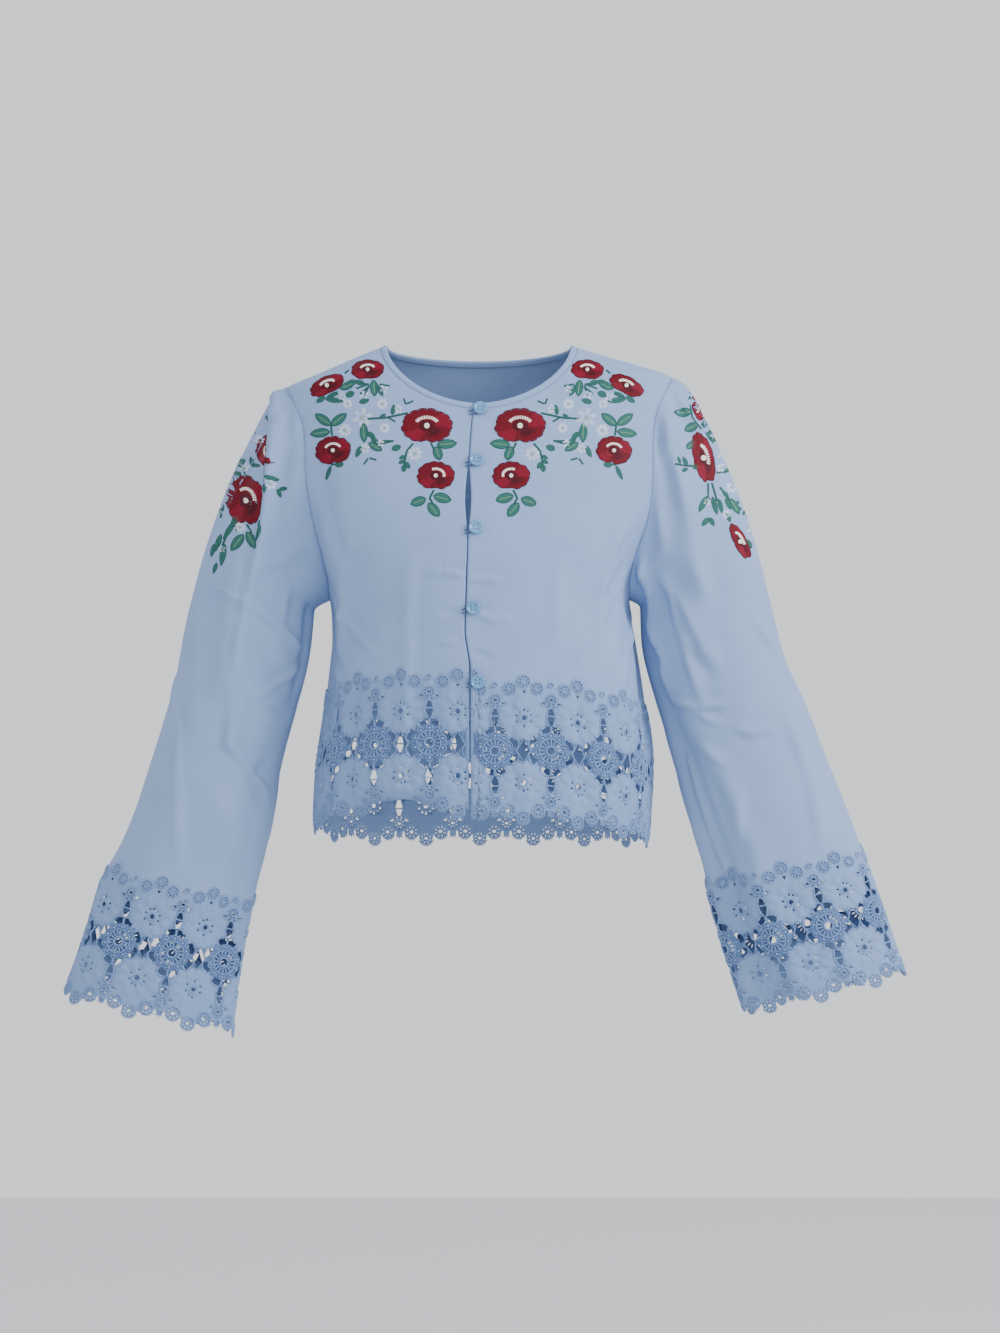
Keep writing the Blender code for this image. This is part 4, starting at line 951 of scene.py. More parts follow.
def filled(outline, holes, inner):
    """Triangles that fill a flat outline round its holes, through the inner points."""
    points, edges = [], []
    for loop in [outline] + holes:
        edges += [(len(points) + i, len(points) + (i + 1) % len(loop)) for i in range(len(loop))]
        points += [Vector(point) for point in loop]
    points += [Vector(point) for point in inner]
    corners, _, faces, *_ = delaunay_2d_cdt(points, edges, [], 1, 1e-7)
    corners = np.array(corners)
    faces = np.array(faces)
    middles = corners[faces].mean(axis=1)
    cut = np.zeros(len(faces), dtype=bool)
    for hole in holes:
        near = np.all(np.abs(middles - hole.mean(axis=0)) < np.ptp(hole, axis=0) + MM, axis=1)
        cut[near] |= within(middles[near], hole)
    return corners, faces[~cut].tolist()


# Geometry Nodes: what repeats

def new_group(name, inputs):
    """A Geometry Nodes group with a geometry output and named inputs; returns it with its two ends."""
    group = bpy.data.node_groups.new(name, "GeometryNodeTree")
    group.interface.new_socket("Geometry", in_out="INPUT", socket_type="NodeSocketGeometry")
    group.interface.new_socket("Geometry", in_out="OUTPUT", socket_type="NodeSocketGeometry")
    for label, kind in inputs:
        group.interface.new_socket(label, in_out="INPUT", socket_type=kind)
    return group, add_node(group, "NodeGroupInput"), add_node(group, "NodeGroupOutput")


def end_with_copies(group, start, end, source, inputs):
    """Copies of a source object on points, made real and in the group's material."""
    shape = add_node(group, "GeometryNodeObjectInfo", {"Object": start.outputs[source]})
    copies = add_node(group, "GeometryNodeInstanceOnPoints", {
        "Instance": shape.outputs["Geometry"], **inputs})
    real = add_node(group, "GeometryNodeRealizeInstances", {"Geometry": copies.outputs[0]})
    coloured = add_node(group, "GeometryNodeSetMaterial", {
        "Geometry": real.outputs[0], "Material": start.outputs["Material"]})
    group.links.new(coloured.outputs[0], end.inputs[0])


def repeat_group():
    """Copies of a motif in a row, a pitch apart."""
    if "repeat_along_band" in bpy.data.node_groups:
        return bpy.data.node_groups["repeat_along_band"]
    group, start, end = new_group("repeat_along_band", [
        ("Motif", "NodeSocketObject"), ("Count", "NodeSocketInt"), ("Pitch", "NodeSocketFloat"),
        ("First", "NodeSocketFloat"), ("Material", "NodeSocketMaterial"),
    ])
    step = add_node(group, "ShaderNodeCombineXYZ", {"X": start.outputs["Pitch"]})
    first = add_node(group, "ShaderNodeCombineXYZ", {"X": start.outputs["First"]})
    row = add_node(group, "GeometryNodeMeshLine", {
        "Count": start.outputs["Count"], "Start Location": first.outputs[0], "Offset": step.outputs[0]})
    end_with_copies(group, start, end, "Motif", {"Points": row.outputs[0]})
    return group


def stitch_group():
    """One stitch at each point, turned and sized by the point's attributes."""
    if "stitches_at_points" in bpy.data.node_groups:
        return bpy.data.node_groups["stitches_at_points"]
    group, start, end = new_group("stitches_at_points", [
        ("Stitch", "NodeSocketObject"), ("Material", "NodeSocketMaterial"),
    ])
    turn = add_node(group, "GeometryNodeInputNamedAttribute", {"Name": "turn"}, data_type="FLOAT")
    size = add_node(group, "GeometryNodeInputNamedAttribute", {"Name": "size"}, data_type="FLOAT_VECTOR")
    about_z = add_node(group, "ShaderNodeCombineXYZ", {"Z": turn.outputs["Attribute"]})
    end_with_copies(group, start, end, "Stitch", {
        "Points": start.outputs["Geometry"], "Rotation": about_z.outputs[0],
        "Scale": size.outputs["Attribute"]})
    return group


def made_by(group, carrier, values):
    """Mesh that a Geometry Nodes group makes on a carrier object, as points and faces."""
    scene = bpy.context.scene
    scene.collection.objects.link(carrier)
    nodes = carrier.modifiers.new("made", "NODES")
    nodes.node_group = group
    for item in group.interface.items_tree:
        if item.item_type == "SOCKET" and item.in_out == "INPUT" and item.name in values:
            nodes[item.identifier] = values[item.name]
    bpy.context.view_layer.update()
    mesh = bpy.data.meshes.new_from_object(carrier.evaluated_get(bpy.context.evaluated_depsgraph_get()))
    points = np.empty(len(mesh.vertices) * 3, np.float32)
    mesh.vertices.foreach_get("co", points)
    faces = [tuple(face.vertices) for face in mesh.polygons]
    bpy.data.objects.remove(carrier)
    bpy.data.meshes.remove(mesh)
    return points.reshape(-1, 3).astype(float), faces


def guide(name, points, faces):
    """A mesh object outside the scene, for Geometry Nodes to copy."""
    mesh = bpy.data.meshes.new(name)
    mesh.from_pydata(np.asarray(points).tolist(), [], faces)
    return bpy.data.objects.new(name, mesh)


def stitch_shape():
    """A padded stitch of unit length and width, pointed at both ends and open underneath."""
    if "stitch" in bpy.data.objects:
        return bpy.data.objects["stitch"]
    points = [(-0.5, 0, 0), (-0.3, -0.5, 0), (0.3, -0.5, 0), (0.5, 0, 0), (0.3, 0.5, 0), (-0.3, 0.5, 0),
              (-0.26, 0, 1), (0.26, 0, 1)]
    faces = [(0, 1, 6), (1, 2, 7, 6), (2, 3, 7), (3, 4, 7), (4, 5, 6, 7), (5, 0, 6)]
    return guide("stitch", points, faces)


def stitched(stitches, place, material, name):
    """A piece made of stitches given as rows of across, up, turn, length, width, height and base."""
    rows = np.array(stitches)
    carrier = guide("stitch_places", np.stack([rows[:, 0], rows[:, 1], rows[:, 6]], axis=-1), [])
    turn = carrier.data.attributes.new("turn", "FLOAT", "POINT")
    turn.data.foreach_set("value", rows[:, 2].astype(np.float32))
    size = carrier.data.attributes.new("size", "FLOAT_VECTOR", "POINT")
    size.data.foreach_set("vector", rows[:, 3:6].astype(np.float32).ravel())
    points, faces = made_by(stitch_group(), carrier, {"Stitch": stitch_shape(), "Material": material})
    return add_piece(name, place(points[:, 0], points[:, 1], points[:, 2]), faces, material)


# Body cloth

def cloth_surface(angle, height):
    """Outer side of the shown body cloth."""
    return moved_out(body, angle, height, np.full(np.shape(angle), SHOWN_LIFT))


def flat_height(height):
    """Height stretched over the shoulders, where the cloth runs sideways."""
    above = height - SHOULDER_HEIGHT
    return np.where(height > SHOULDER_HEIGHT, SHOULDER_HEIGHT + above * SHOULDER_SLOPE, height)


def true_height(flat):
    """Height from its stretched form."""
    return np.where(flat > SHOULDER_HEIGHT, SHOULDER_HEIGHT + (flat - SHOULDER_HEIGHT) / SHOULDER_SLOPE, flat)


def opening_x(height, side):
    """The front edge of one side at a height."""
    return read(OPENING, "middle", height) + side * read(OPENING, "gap", height)


def centre_turn(side, width, x):
    """Turn along the front neckline at which it meets a front edge."""
    share = side * x / (NECK_HALF + width)
    return np.arccos(np.sign(share) * np.abs(share) ** (NECK_POWER / 2))


def seam_angle(height, side, half_turn):
    """Side or shoulder seam of the front (half_turn -1) or the back (1)."""
    half = ring_sizes(height, side)[0]
    return np.pi / 2 + half_turn * SHOWN_GAP / half


def body_row(angle):
    """The hem lace's wheel row on the body."""
    return body(angle, wheel_row(angle))


def front_edge(side):
    """Angle of a front's edge on the wheel row."""
    height = wheel_row(0.01 * side)
    return angle_at(opening_x(height, side), height)


def panel_sheet(name, outline, step, wall):
    """A cloth panel of the body from its outline of angles and heights."""
    flat = np.stack([outline[:, 0] * FLAT_RADIUS, flat_height(outline[:, 1])], axis=-1)
    corners, faces = filled(flat, [], spread_inside(flat, step))
    points = cloth_surface(corners[:, 0] / FLAT_RADIUS, true_height(corners[:, 1]))
    piece = add_piece(name, points, faces, blouse_cotton(), corners)
    thicken(piece, wall)
    return piece


def front_outline(side, step):
    """Outline of one front: centre edge, neckline, shoulder, armhole, side seam and lower edge."""
    neck_turn = np.linspace(centre_turn(side, BINDING_WIDTH, opening_x(-NECK_DROP_FRONT, side)), 0, 48)
    neck_x, neck_z = neck_edge(neck_turn, BINDING_WIDTH, True)
    low_angle = np.linspace(side * (np.pi / 2 - SHOWN_GAP / SHOULDER_HALF), front_edge(side), 60)
    low_z = wheel_row(low_angle) + CLOTH_END
    centre_z = evenly(low_z[-1], neck_z[0], step)
    shoulder_z = evenly(neck_z[-1], SHOULDER_HEIGHT, step / 4)
    hole_angle, hole_z = armhole(np.linspace(np.pi / 2, -np.pi / 2, 72), side)
    hole_angle = side * np.minimum(side * hole_angle, seam_angle(hole_z, side, -1))
    side_z = evenly(UNDERARM_HEIGHT, low_z[0], step)
    return joined(
        (angle_at(opening_x(centre_z, side), centre_z), centre_z),
        (angle_at(side * neck_x, neck_z), neck_z),
        (side * seam_angle(shoulder_z, side, -1), shoulder_z),
        (hole_angle, hole_z),
        (side * seam_angle(side_z, side, -1), side_z),
        (low_angle, low_z),
    )


def half_back(side, step):
    """Side seam, armhole, shoulder and neckline of one half of the back, from the hem to the middle."""
    low = float(wheel_row(side * np.pi / 2) + CLOTH_END)
    side_z = evenly(low, UNDERARM_HEIGHT, step)
    hole_angle, hole_z = armhole(np.linspace(-np.pi / 2, -1.5 * np.pi, 72), side)
    hole_angle = side * np.maximum(side * hole_angle, seam_angle(hole_z, side, 1))
    neck_x, neck_z = neck_edge(np.linspace(0, np.pi / 2, 48), BINDING_WIDTH, False)
    shoulder_z = evenly(SHOULDER_HEIGHT, neck_z[0], step / 4)
    runs = [
        (side * seam_angle(side_z, side, 1), side_z),
        (hole_angle, hole_z),
        (side * seam_angle(shoulder_z, side, 1), shoulder_z),
        (angle_at(side * neck_x, neck_z, False), neck_z),
    ]
    return [(angle % (2 * np.pi), height) for angle, height in runs]


def back_outline(step):
    """Outline of the back between the side seams."""
    left, right = half_back(1, step), half_back(-1, step)
    low_angle = np.linspace(left[0][0][0], right[0][0][0], 110)
    low_z = wheel_row(low_angle) + CLOTH_END
    backwards = [(angle[::-1], height[::-1]) for angle, height in reversed(right)]
    return joined(*left, *backwards, (low_angle[::-1], low_z[::-1]))


class BLOUSE_OT_body(bpy.types.Operator):
    """Cloth of the two fronts and the back"""
    bl_idname = "blouse.body"
    bl_label = "Fronts and back"

    def execute(self, context):
        sizes = context.scene.blouse_sizes
        for side, name in ((-1, "front_right"), (1, "front_left")):
            front = panel_sheet(f"cloth_{name}", front_outline(side, sizes.cloth_step),
                                sizes.cloth_step, sizes.cloth_wall)
            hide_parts(name)
        back = panel_sheet("cloth_back", back_outline(sizes.cloth_step), sizes.cloth_step, sizes.cloth_wall)
        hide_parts("back")
        return {"FINISHED"}


# Neck edge

def neck_round(width, steps=60):
    """The neckline from the left front edge round the back to the right: angles and heights."""
    angles, heights = [], []
    for side, front in ((1, True), (1, False), (-1, False), (-1, True)):
        edge = centre_turn(side, width, opening_x(-NECK_DROP_FRONT, side)) if front else np.pi / 2
        turn = np.linspace(edge, 0, steps)
        if front != (side > 0):
            turn = turn[::-1]
        x, height = neck_edge(turn, width, front)
        angle = angle_at(side * x, height, front)
        angles.append(angle if side > 0 else angle % (2 * np.pi))
        heights.append(height)
        if (side, front) != (-1, True):
            angles[-1], heights[-1] = angles[-1][:-1], heights[-1][:-1]
    return np.concatenate(angles), np.concatenate(heights)


class BLOUSE_OT_neck_edge(bpy.types.Operator):
    """Rolled edge of the same cloth round the neck"""
    bl_idname = "blouse.neck_edge"
    bl_label = "Neck edge"

    def execute(self, context):
        n = len(neck_round(0)[0])
        rows = [moved_out(body, *neck_round(width), np.full(n, out))
                for width, out in zip(NECK_ROLL["width"], NECK_ROLL["out"])]
        faces = [(r * n + i, r * n + i + 1, (r + 1) * n + i + 1, (r + 1) * n + i)
                 for r in range(len(rows) - 1) for i in range(n - 1)]
        uv = np.array([(s, width) for width in NECK_ROLL["width"] for s in lengths_along(rows[0])])
        edge = add_piece("cloth_neck_edge", np.concatenate(rows), faces, blouse_cotton(), uv)
        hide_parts("neck_binding")
        return {"FINISHED"}


# Sleeves

def cuff_row(side):
    """The cuff lace's wheel row as a function of the round angle."""
    def row(angles):
        return cuff(side, angles, 0 * angles)
    return row


def cuff_pitch(side):
    """Length of one cuff repeat."""
    return ring_length(cuff_row(side), 0, 2 * np.pi) / CUFF_REPEATS


class BLOUSE_OT_sleeves(bpy.types.Operator):
    """Cloth of the two flared sleeves"""
    bl_idname = "blouse.sleeves"
    bl_label = "Sleeves"

    def execute(self, context):
        sizes = context.scene.blouse_sizes
        for side, name in ((-1, "sleeve_right"), (1, "sleeve_left")):
            last = section_run(side, CUFF_SECTION) - CLOTH_END
            runs = evenly(-SLEEVE_HEAD, last, sizes.cloth_step)
            n = SLEEVE_STEPS
            u, v = np.meshgrid(np.linspace(0, 2 * np.pi, n + 1), runs)
            points = moved_out(partial(sleeve, side), u, v, np.full(u.shape, SHOWN_LIFT), -side)
            points = points[:, :-1].reshape(-1, 3)
            faces = [(r * n + c, (r + 1) * n + c, (r + 1) * n + (c + 1) % n, r * n + (c + 1) % n)
                     for r in range(len(runs) - 1) for c in range(n)]
            if side < 0:
                faces = [face[::-1] for face in faces]
            uv = np.stack([u[:, :-1] * SLEEVE_RADIUS, v[:, :-1]], axis=-1).reshape(-1, 2)
            piece = add_piece(f"cloth_{name}", points, faces, blouse_cotton(), uv)
            thicken(piece, sizes.cloth_wall)
            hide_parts(name)
        return {"FINISHED"}


# Lace

def ellipse(across, up, half_width, half_height, corners, turn=0.0):
    """Points round an ellipse."""
    t = 2 * np.pi * np.arange(corners) / corners
    x, y = half_width * np.cos(t), half_height * np.sin(t)
    return np.stack([across + x * np.cos(turn) - y * np.sin(turn),
                     up + x * np.sin(turn) + y * np.cos(turn)], axis=-1)


def ring_gap(inner, outer, low, high, corners=5):
    """Outline of a gap between two radii and two angles round the wheel."""
    t = np.linspace(low, high, corners)
    near = np.stack([inner * np.cos(t), inner * np.sin(t)], axis=-1)
    far = np.stack([outer * np.cos(t), outer * np.sin(t)], axis=-1)[::-1]
    return np.concatenate([near, far])


def mirrored(shapes):
    """Each outline in the four quarters round the wheel."""
    return [shape * np.array([x, y]) for shape in shapes for x in (1, -1) for y in (1, -1)]


# Rosettes of the band's two edges from the wheel: across, up and radius in millimetres
EDGE_ROSETTES = [(LACE_PITCH / 2 / MM + across, up, radius) for across, up, radius in (
    (-14, 59.5, 6.4), (14, 59.5, 6.4), (0, 66.2, 6.6), (-15, -57.6, 7.2), (15, -57.6, 7.2), (0, -64.5, 6.6))]


# Flowers of the lace, whose ground is worked as densely as its cords and keeps the lace's colour, and the
# open work round its wheels, whose ground is darkened as painted shade
FLOWER_UP = 31 * MM
FLOWER_HALF = (24 * MM, 21.5 * MM)
SHADE_REACH = (27 * MM, 25 * MM)


def lace_holes():
    """Outlines of the gaps of one repeat, measured from its wheel; the flower column is half a repeat on."""
    half = LACE_PITCH / 2
    holes = mirrored([
        ring_gap(17.4 * MM, 22.8 * MM, np.radians(8), np.radians(38)),
        ring_gap(17.8 * MM, 23.8 * MM, np.radians(63), np.radians(86)),
        np.array([(6.4, 43.8), (10.4, 46.4), (6.2, 46.6)]) * MM,
        ellipse(2.4 * MM, 42.6 * MM, 0.9 * MM, 0.9 * MM, 6),
    ])
    upper = [
        np.array([(1.4, 24.6), (3.7, 31.4), (2.9, 33.2), (-3.3, 32.6), (-3.6, 31), (-1.4, 24.6)]) * MM,
        np.array([(3.5, 34.4), (2.6, 37.4), (1.4, 40.6), (-1.4, 40.8), (-2.8, 37), (-3.4, 34)]) * MM,
        ellipse(0, 49 * MM, 1.9 * MM, 1.2 * MM, 8),
        ellipse(half, 31 * MM, 2.3 * MM, 2.5 * MM, 10),
    ]
    upper += [ellipse(half + 7.8 * MM * np.cos(t), 31 * MM + 7.8 * MM * np.sin(t), 1.5 * MM, 1.0 * MM, 6, t)
              for t in np.radians([20, 62, 90, 128, 162, 205, 270, 332])]
    holes += [shape * np.array([1, way]) for shape in upper for way in (1, -1)]
    holes += [
        np.array([(half - 6.2 * MM, 0), (half, -11 * MM), (half + 6.2 * MM, 0), (half, 11 * MM)]),
        np.array([(half - 1.9 * MM, 57.6 * MM), (half, 53.8 * MM), (half + 1.9 * MM, 57.6 * MM)]),
        ellipse(0, 0, 3.4 * MM, 3.4 * MM, 12),
        ellipse(13 * MM, -57.6 * MM, 2.1 * MM, 1.5 * MM, 8),
        ellipse(-13 * MM, -57.6 * MM, 2.1 * MM, 1.5 * MM, 8),
        ellipse(half, -64.5 * MM, 1.6 * MM, 1.4 * MM, 8),
    ]
    slits = [(0, 0, 9.1, 16, 2, 0.62), (0, 49, 4.1, 8, 0.95, 0.5), (0, -49, 4.1, 8, 0.95, 0.5)]
    slits += [(x, y, 0.68 * radius, 8, 0.16 * radius, 0.5) for x, y, radius in EDGE_ROSETTES]
    for x, y, away, count, long, wide in slits:
        for t in 2 * np.pi * (np.arange(count) + 0.5) / count:
            middle = (x + away * np.cos(t)) * MM, (y + away * np.sin(t)) * MM
            holes.append(ellipse(*middle, long * MM, wide * MM, 6, t))
    return holes


def edge_of(length, flower, pitch, circles, base):
    """Outermost reach of the edge rosettes along the band."""
    place = (length - flower) / pitch % 1 * LACE_PITCH
    reach = np.full(np.shape(length), base)
    for across, up, radius in circles:
        for turn in (-LACE_PITCH, 0, LACE_PITCH):
            gap = np.minimum(np.abs(place - across - turn), radius)
            reach = np.maximum(reach, np.where(gap < radius, up + np.sqrt(radius**2 - gap**2), base))
    return reach


LACE_HOLES = lace_holes()


def painted_shade_places(from_flower, up):
    """Whether places lie in the open work round the wheels, whose ground gets painted shade, from their
    flower column and the wheel row.
    """
    dark = np.hypot((np.abs(from_flower) - LACE_PITCH / 2) / SHADE_REACH[0], up / SHADE_REACH[1]) < 1
    return dark & (np.hypot(from_flower / FLOWER_HALF[0], (np.abs(up) - FLOWER_UP) / FLOWER_HALF[1]) > 1)


class Relief:
    """Raised cords and pads of the lace, collected as one mesh in flat millimetres."""

    def __init__(self):
        self.points, self.faces, self.count = [], [], 0

    def add(self, points, faces):
        self.points.append(np.asarray(points, float))
        self.faces += [tuple(i + self.count for i in face) for face in faces]
        self.count += len(points)

    def cord(self, line, width, height, closed=True):
        """A round-topped cord along a line."""
        line = np.asarray(line, float)
        ahead = np.roll(line, -1, axis=0) - np.roll(line, 1, axis=0)
        if not closed:
            ahead[0], ahead[-1] = line[1] - line[0], line[-1] - line[-2]
        across = unit(np.stack([-ahead[:, 1], ahead[:, 0]], axis=-1)) * width / 2
        profile = ((-1, -0.3), (-0.55, 0.85), (0.55, 0.85), (1, -0.3))
        n = len(line)
        points = [np.column_stack([line + across * x, np.full(n, height * z)]) for x, z in profile]
        last = n if closed else n - 1
        faces = [(k * n + i, k * n + (i + 1) % n, (k + 1) * n + (i + 1) % n, (k + 1) * n + i)
                 for k in range(3) for i in range(last)]
        self.add(np.concatenate(points), faces)

    def pad(self, across, up, half_width, half_height, height, turn=0.0, corners=8):
        """A padded oval."""
        outer = ellipse(across, up, half_width, half_height, corners, turn)
        inner = ellipse(across, up, half_width * 0.6, half_height * 0.6, corners, turn)
        points = np.concatenate([
            np.column_stack([outer, np.full(corners, -0.3)]),
            np.column_stack([inner, np.full(corners, height * 0.8)]),
            [(across, up, height)],
        ])
        faces = [(i, (i + 1) % corners, corners + (i + 1) % corners, corners + i) for i in range(corners)]
        faces += [(corners + i, corners + (i + 1) % corners, 2 * corners) for i in range(corners)]
        self.add(points, faces)

    def rosette(self, across, up, radius, petals=8):
        """A small round rosette of two rings with petals between."""
        self.cord(ellipse(across, up, radius * 0.45, radius * 0.42, 10), 1.0, 0.9)
        self.cord(ellipse(across, up, radius * 0.9, radius * 0.9, 14), 0.9, 0.8)
        for t in 2 * np.pi * np.arange(petals) / petals:
            self.pad(across + radius * 0.68 * np.cos(t), up + radius * 0.68 * np.sin(t),
                     radius * 0.17, radius * 0.13, 0.9, t, 6)


# Cords that tie the wheels to the flowers: path from the wheel, width and height, all in millimetres
BARS = (
    ([(0.2, 17.6), (0.2, 23.6)], 0.9, 0.8),
    ([(1.9, 24), (4.4, 31), (4.2, 35), (2.2, 41), (4, 43), (8.6, 43.2), (11, 46)], 0.9, 0.7),
    ([(13.6, 12), (18.6, 14.4), (23.4, 9.4), (23.4, 4.2), (20, 0)], 0.8, 0.7),
    ([(10.5, 15.5), (10.6, 22), (6, 24.4), (1.6, 23.8)], 0.8, 0.7),
)


def lace_relief():
    """The raised work of one repeat, in millimetres from its wheel."""
    work = Relief()
    half = LACE_PITCH / 2 / MM
    work.cord(ellipse(0, 0, 4.6, 4.6, 14), 1.6, 1.1)
    work.cord(ellipse(0, 0, 12, 12, 24), 1.1, 0.9)
    for t in 2 * np.pi * np.arange(16) / 16:
        ray = np.array([[6.0, 6.0], [11.4, 11.4]]) * np.array([np.cos(t), np.sin(t)])
        work.cord(ray, 1.1, 0.8, closed=False)
    for t in 2 * np.pi * (np.arange(10) + 0.5) / 10:
        x, y = 14.6 * np.cos(t), 14.6 * np.sin(t)
        work.pad(x, y, 1.7, 1.7, 1.3)
        arc = [(x + 3.1 * np.cos(t + a), y + 3.1 * np.sin(t + a)) for a in np.linspace(-1.9, 1.9, 7)]
        work.cord(arc, 0.9, 0.8, closed=False)
    for side in (1, -1):
        work.cord(ellipse(half, 31 * side, 3.5, 3.7, 12), 1.1, 0.8)
        for k, t in enumerate(2 * np.pi * (np.arange(8) + 0.5) / 8):
            long = 17.5 if k % 2 else 15.5
            up = side * (31 + 0.86 * long * np.sin(t))
            work.pad(half + long * np.cos(t), up, 7.2, 5.4, 0.5, t * side, 10)
        work.rosette(0, 49 * side, 6.0)
        for x in (1, -1):
            for edge, width, height in BARS:
                work.cord(np.array(edge) * np.array([x, side]), width, height, closed=False)
        work.cord(np.array([(-4, 33.6 * side), (4, 33.6 * side)]), 0.8, 0.8, closed=False)
    work.cord(np.array([(half - 6.8, 0), (half, -12), (half + 6.8, 0), (half, 12)]), 0.9, 0.8)
    for across, up, radius in EDGE_ROSETTES:
        work.rosette(across, up, radius)
    work.cord(ellipse(0, 63.6, 2.3, 2.3, 10), 1.0, 0.9)
    work.cord(ellipse(0, -59.6, 2.8, 2.8, 10), 1.2, 1.0)
    picots = [(half - 15, -57.6, 7.2, -150, -75, 6), (half + 15, -57.6, 7.2, -105, -30, 6),
              (half, -64.5, 6.6, -160, -20, 9), (0, -59.6, 3.2, -130, -50, 3)]
    for x, y, radius, low, high, count in picots:
        for t in np.radians(np.linspace(low, high, count)):
            work.pad(x + (radius + 0.7) * np.cos(t), y + (radius + 0.7) * np.sin(t), 1.5, 0.6, 0.8, t, 6)
    return np.concatenate(work.points) * MM, work.faces


def lace_band(name, start, end, flower, pitch, place, flip, sizes, node):
    """A stretch of lace between two lengths: ground with its gaps, and the raised work on it."""
    stretch = pitch / LACE_PITCH
    line = evenly(start, end, LACE_EDGE_STEP)
    top = edge_of(line, flower, pitch, TOP_SCALLOPS, LACE_TOP_BASE)
    low = -edge_of(line, flower, pitch, LOW_SCALLOPS, LACE_LOW_BASE)
    outline = np.concatenate([np.column_stack([line, top]), np.column_stack([line, low])[::-1]])
    first = int(np.floor((start - flower) / pitch)) - 1
    wheels = flower + pitch * (np.arange(first, first + 4 + int((end - start) / pitch)) + 0.5)
    holes = [np.array([wheel, 0]) + hole * np.array([stretch, 1]) for wheel in wheels for hole in LACE_HOLES]
    holes = [hole for hole in holes
             if hole[:, 0].min() > start + LACE_MARGIN and hole[:, 0].max() < end - LACE_MARGIN]
    grid = spread_inside(outline, LACE_GRID)
    clear = np.ones(len(grid), dtype=bool)
    for hole in holes:
        reach = np.linalg.norm(hole - hole.mean(axis=0), axis=1).max() + 1.2 * MM
        clear &= np.linalg.norm(grid - hole.mean(axis=0), axis=1) > reach
    corners, faces = filled(outline, holes, grid[clear])
    if flip:
        faces = [face[::-1] for face in faces]
    points = place(corners[:, 0], corners[:, 1], np.full(len(corners), LACE_LIFT))
    ground = add_piece(f"lace_{name}", points, faces, lace_cotton(), corners)
    # The second material is the darker ground: painted shade on the open work round the wheels
    ground.data.materials.append(painted_shade_ground())
    middles = corners[np.array(faces)].mean(axis=1)
    along = (middles[:, 0] - wheels[0]) / stretch % LACE_PITCH - LACE_PITCH / 2
    ground.data.polygons.foreach_set("material_index", painted_shade_places(along, middles[:, 1]).astype(np.int32))
    thicken(ground, sizes.lace_wall)
    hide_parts(node)
    points, faces = made_by(repeat_group(), guide("band", [(0, 0, 0)], []), {
        "Motif": guide(f"motif_{name}", *lace_relief()), "Count": len(wheels), "Pitch": LACE_PITCH,
        "First": 0.0, "Material": lace_cotton()})
    points[:, 0] = wheels[0] + points[:, 0] * stretch
    inside = (points[:, 0] > start - 0.2 * MM) & (points[:, 0] < end + 0.2 * MM)
    faces = [face for face in faces if inside[list(face)].all()]
    used = np.unique(np.concatenate([np.array(face) for face in faces]))
    number = np.zeros(len(points), dtype=int)
    number[used] = np.arange(len(used))
    faces = [tuple(number[i] for i in face) for face in faces]
    if flip:
        faces = [face[::-1] for face in faces]
    kept = points[used]
    raised = place(kept[:, 0], kept[:, 1], LACE_LIFT + kept[:, 2] * sizes.lace_relief)
    work = add_piece(f"lace_work_{name}", raised, faces, lace_cotton())


def hem_place(reference):
    """Places on the hem's surface by length from a reference angle, rise and lift."""
    def place(length, rise, lift):
        angles = arc_angles(body_row, length, reference)
        return moved_out(hem, angles, rise, lift)
    return place


def cuff_place(side):
    """Places on a cuff's surface by length, rise and lift."""
    def place(length, rise, lift):
        return moved_out(partial(cuff, side), arc_angles(cuff_row(side), length, 0), rise, lift, side)
    return place


class BLOUSE_OT_hem_lace(bpy.types.Operator):
    """Lace band round the hem, in three stretches"""
    bl_idname = "blouse.hem_lace"
    bl_label = "Hem lace"

    def execute(self, context):
        sizes = context.scene.blouse_sizes
        for side, node, flower in ((-1, "hem_lace_front_right", RIGHT_FRONT_FLOWER),
                                   (1, "hem_lace_front_left", LEFT_FRONT_FLOWER)):
            edge, seam = front_edge(side), side * np.pi / 2
            width = ring_length(body_row, min(edge, seam), max(edge, seam)) - SHOWN_GAP
            lace_band(node, min(0, side * width), max(0, side * width), flower, LACE_PITCH,
                      hem_place(edge), False, sizes, node)
        before, after = ring_length(body_row, np.pi / 2, np.pi), ring_length(body_row, np.pi, 1.5 * np.pi)
        lace_band("hem_lace_back", SHOWN_GAP - before, after - SHOWN_GAP, 0, LACE_PITCH,
                  hem_place(np.pi), False, sizes, "hem_lace_back")
        return {"FINISHED"}


class BLOUSE_OT_cuff_lace(bpy.types.Operator):
    """Lace tubes of the cuffs, each in a front and a back half"""
    bl_idname = "blouse.cuff_lace"
    bl_label = "Cuff lace"

    def execute(self, context):
        sizes = context.scene.blouse_sizes
        for wearer_side, side, flower in (("right", -1, RIGHT_CUFF_FLOWER), ("left", 1, LEFT_CUFF_FLOWER)):
            pitch = cuff_pitch(side)
            start = flower - (2.25 if flower > 0 else 1.75) * pitch
            for half, low, high in (("front", start, start + 4 * pitch),
                                    ("back", start + 4 * pitch, start + CUFF_REPEATS * pitch)):
                node = f"cuff_lace_{wearer_side}_{half}"
                lace_band(node, low, high, flower, pitch, cuff_place(side), side < 0, sizes, node)
        return {"FINISHED"}


# Embroidery

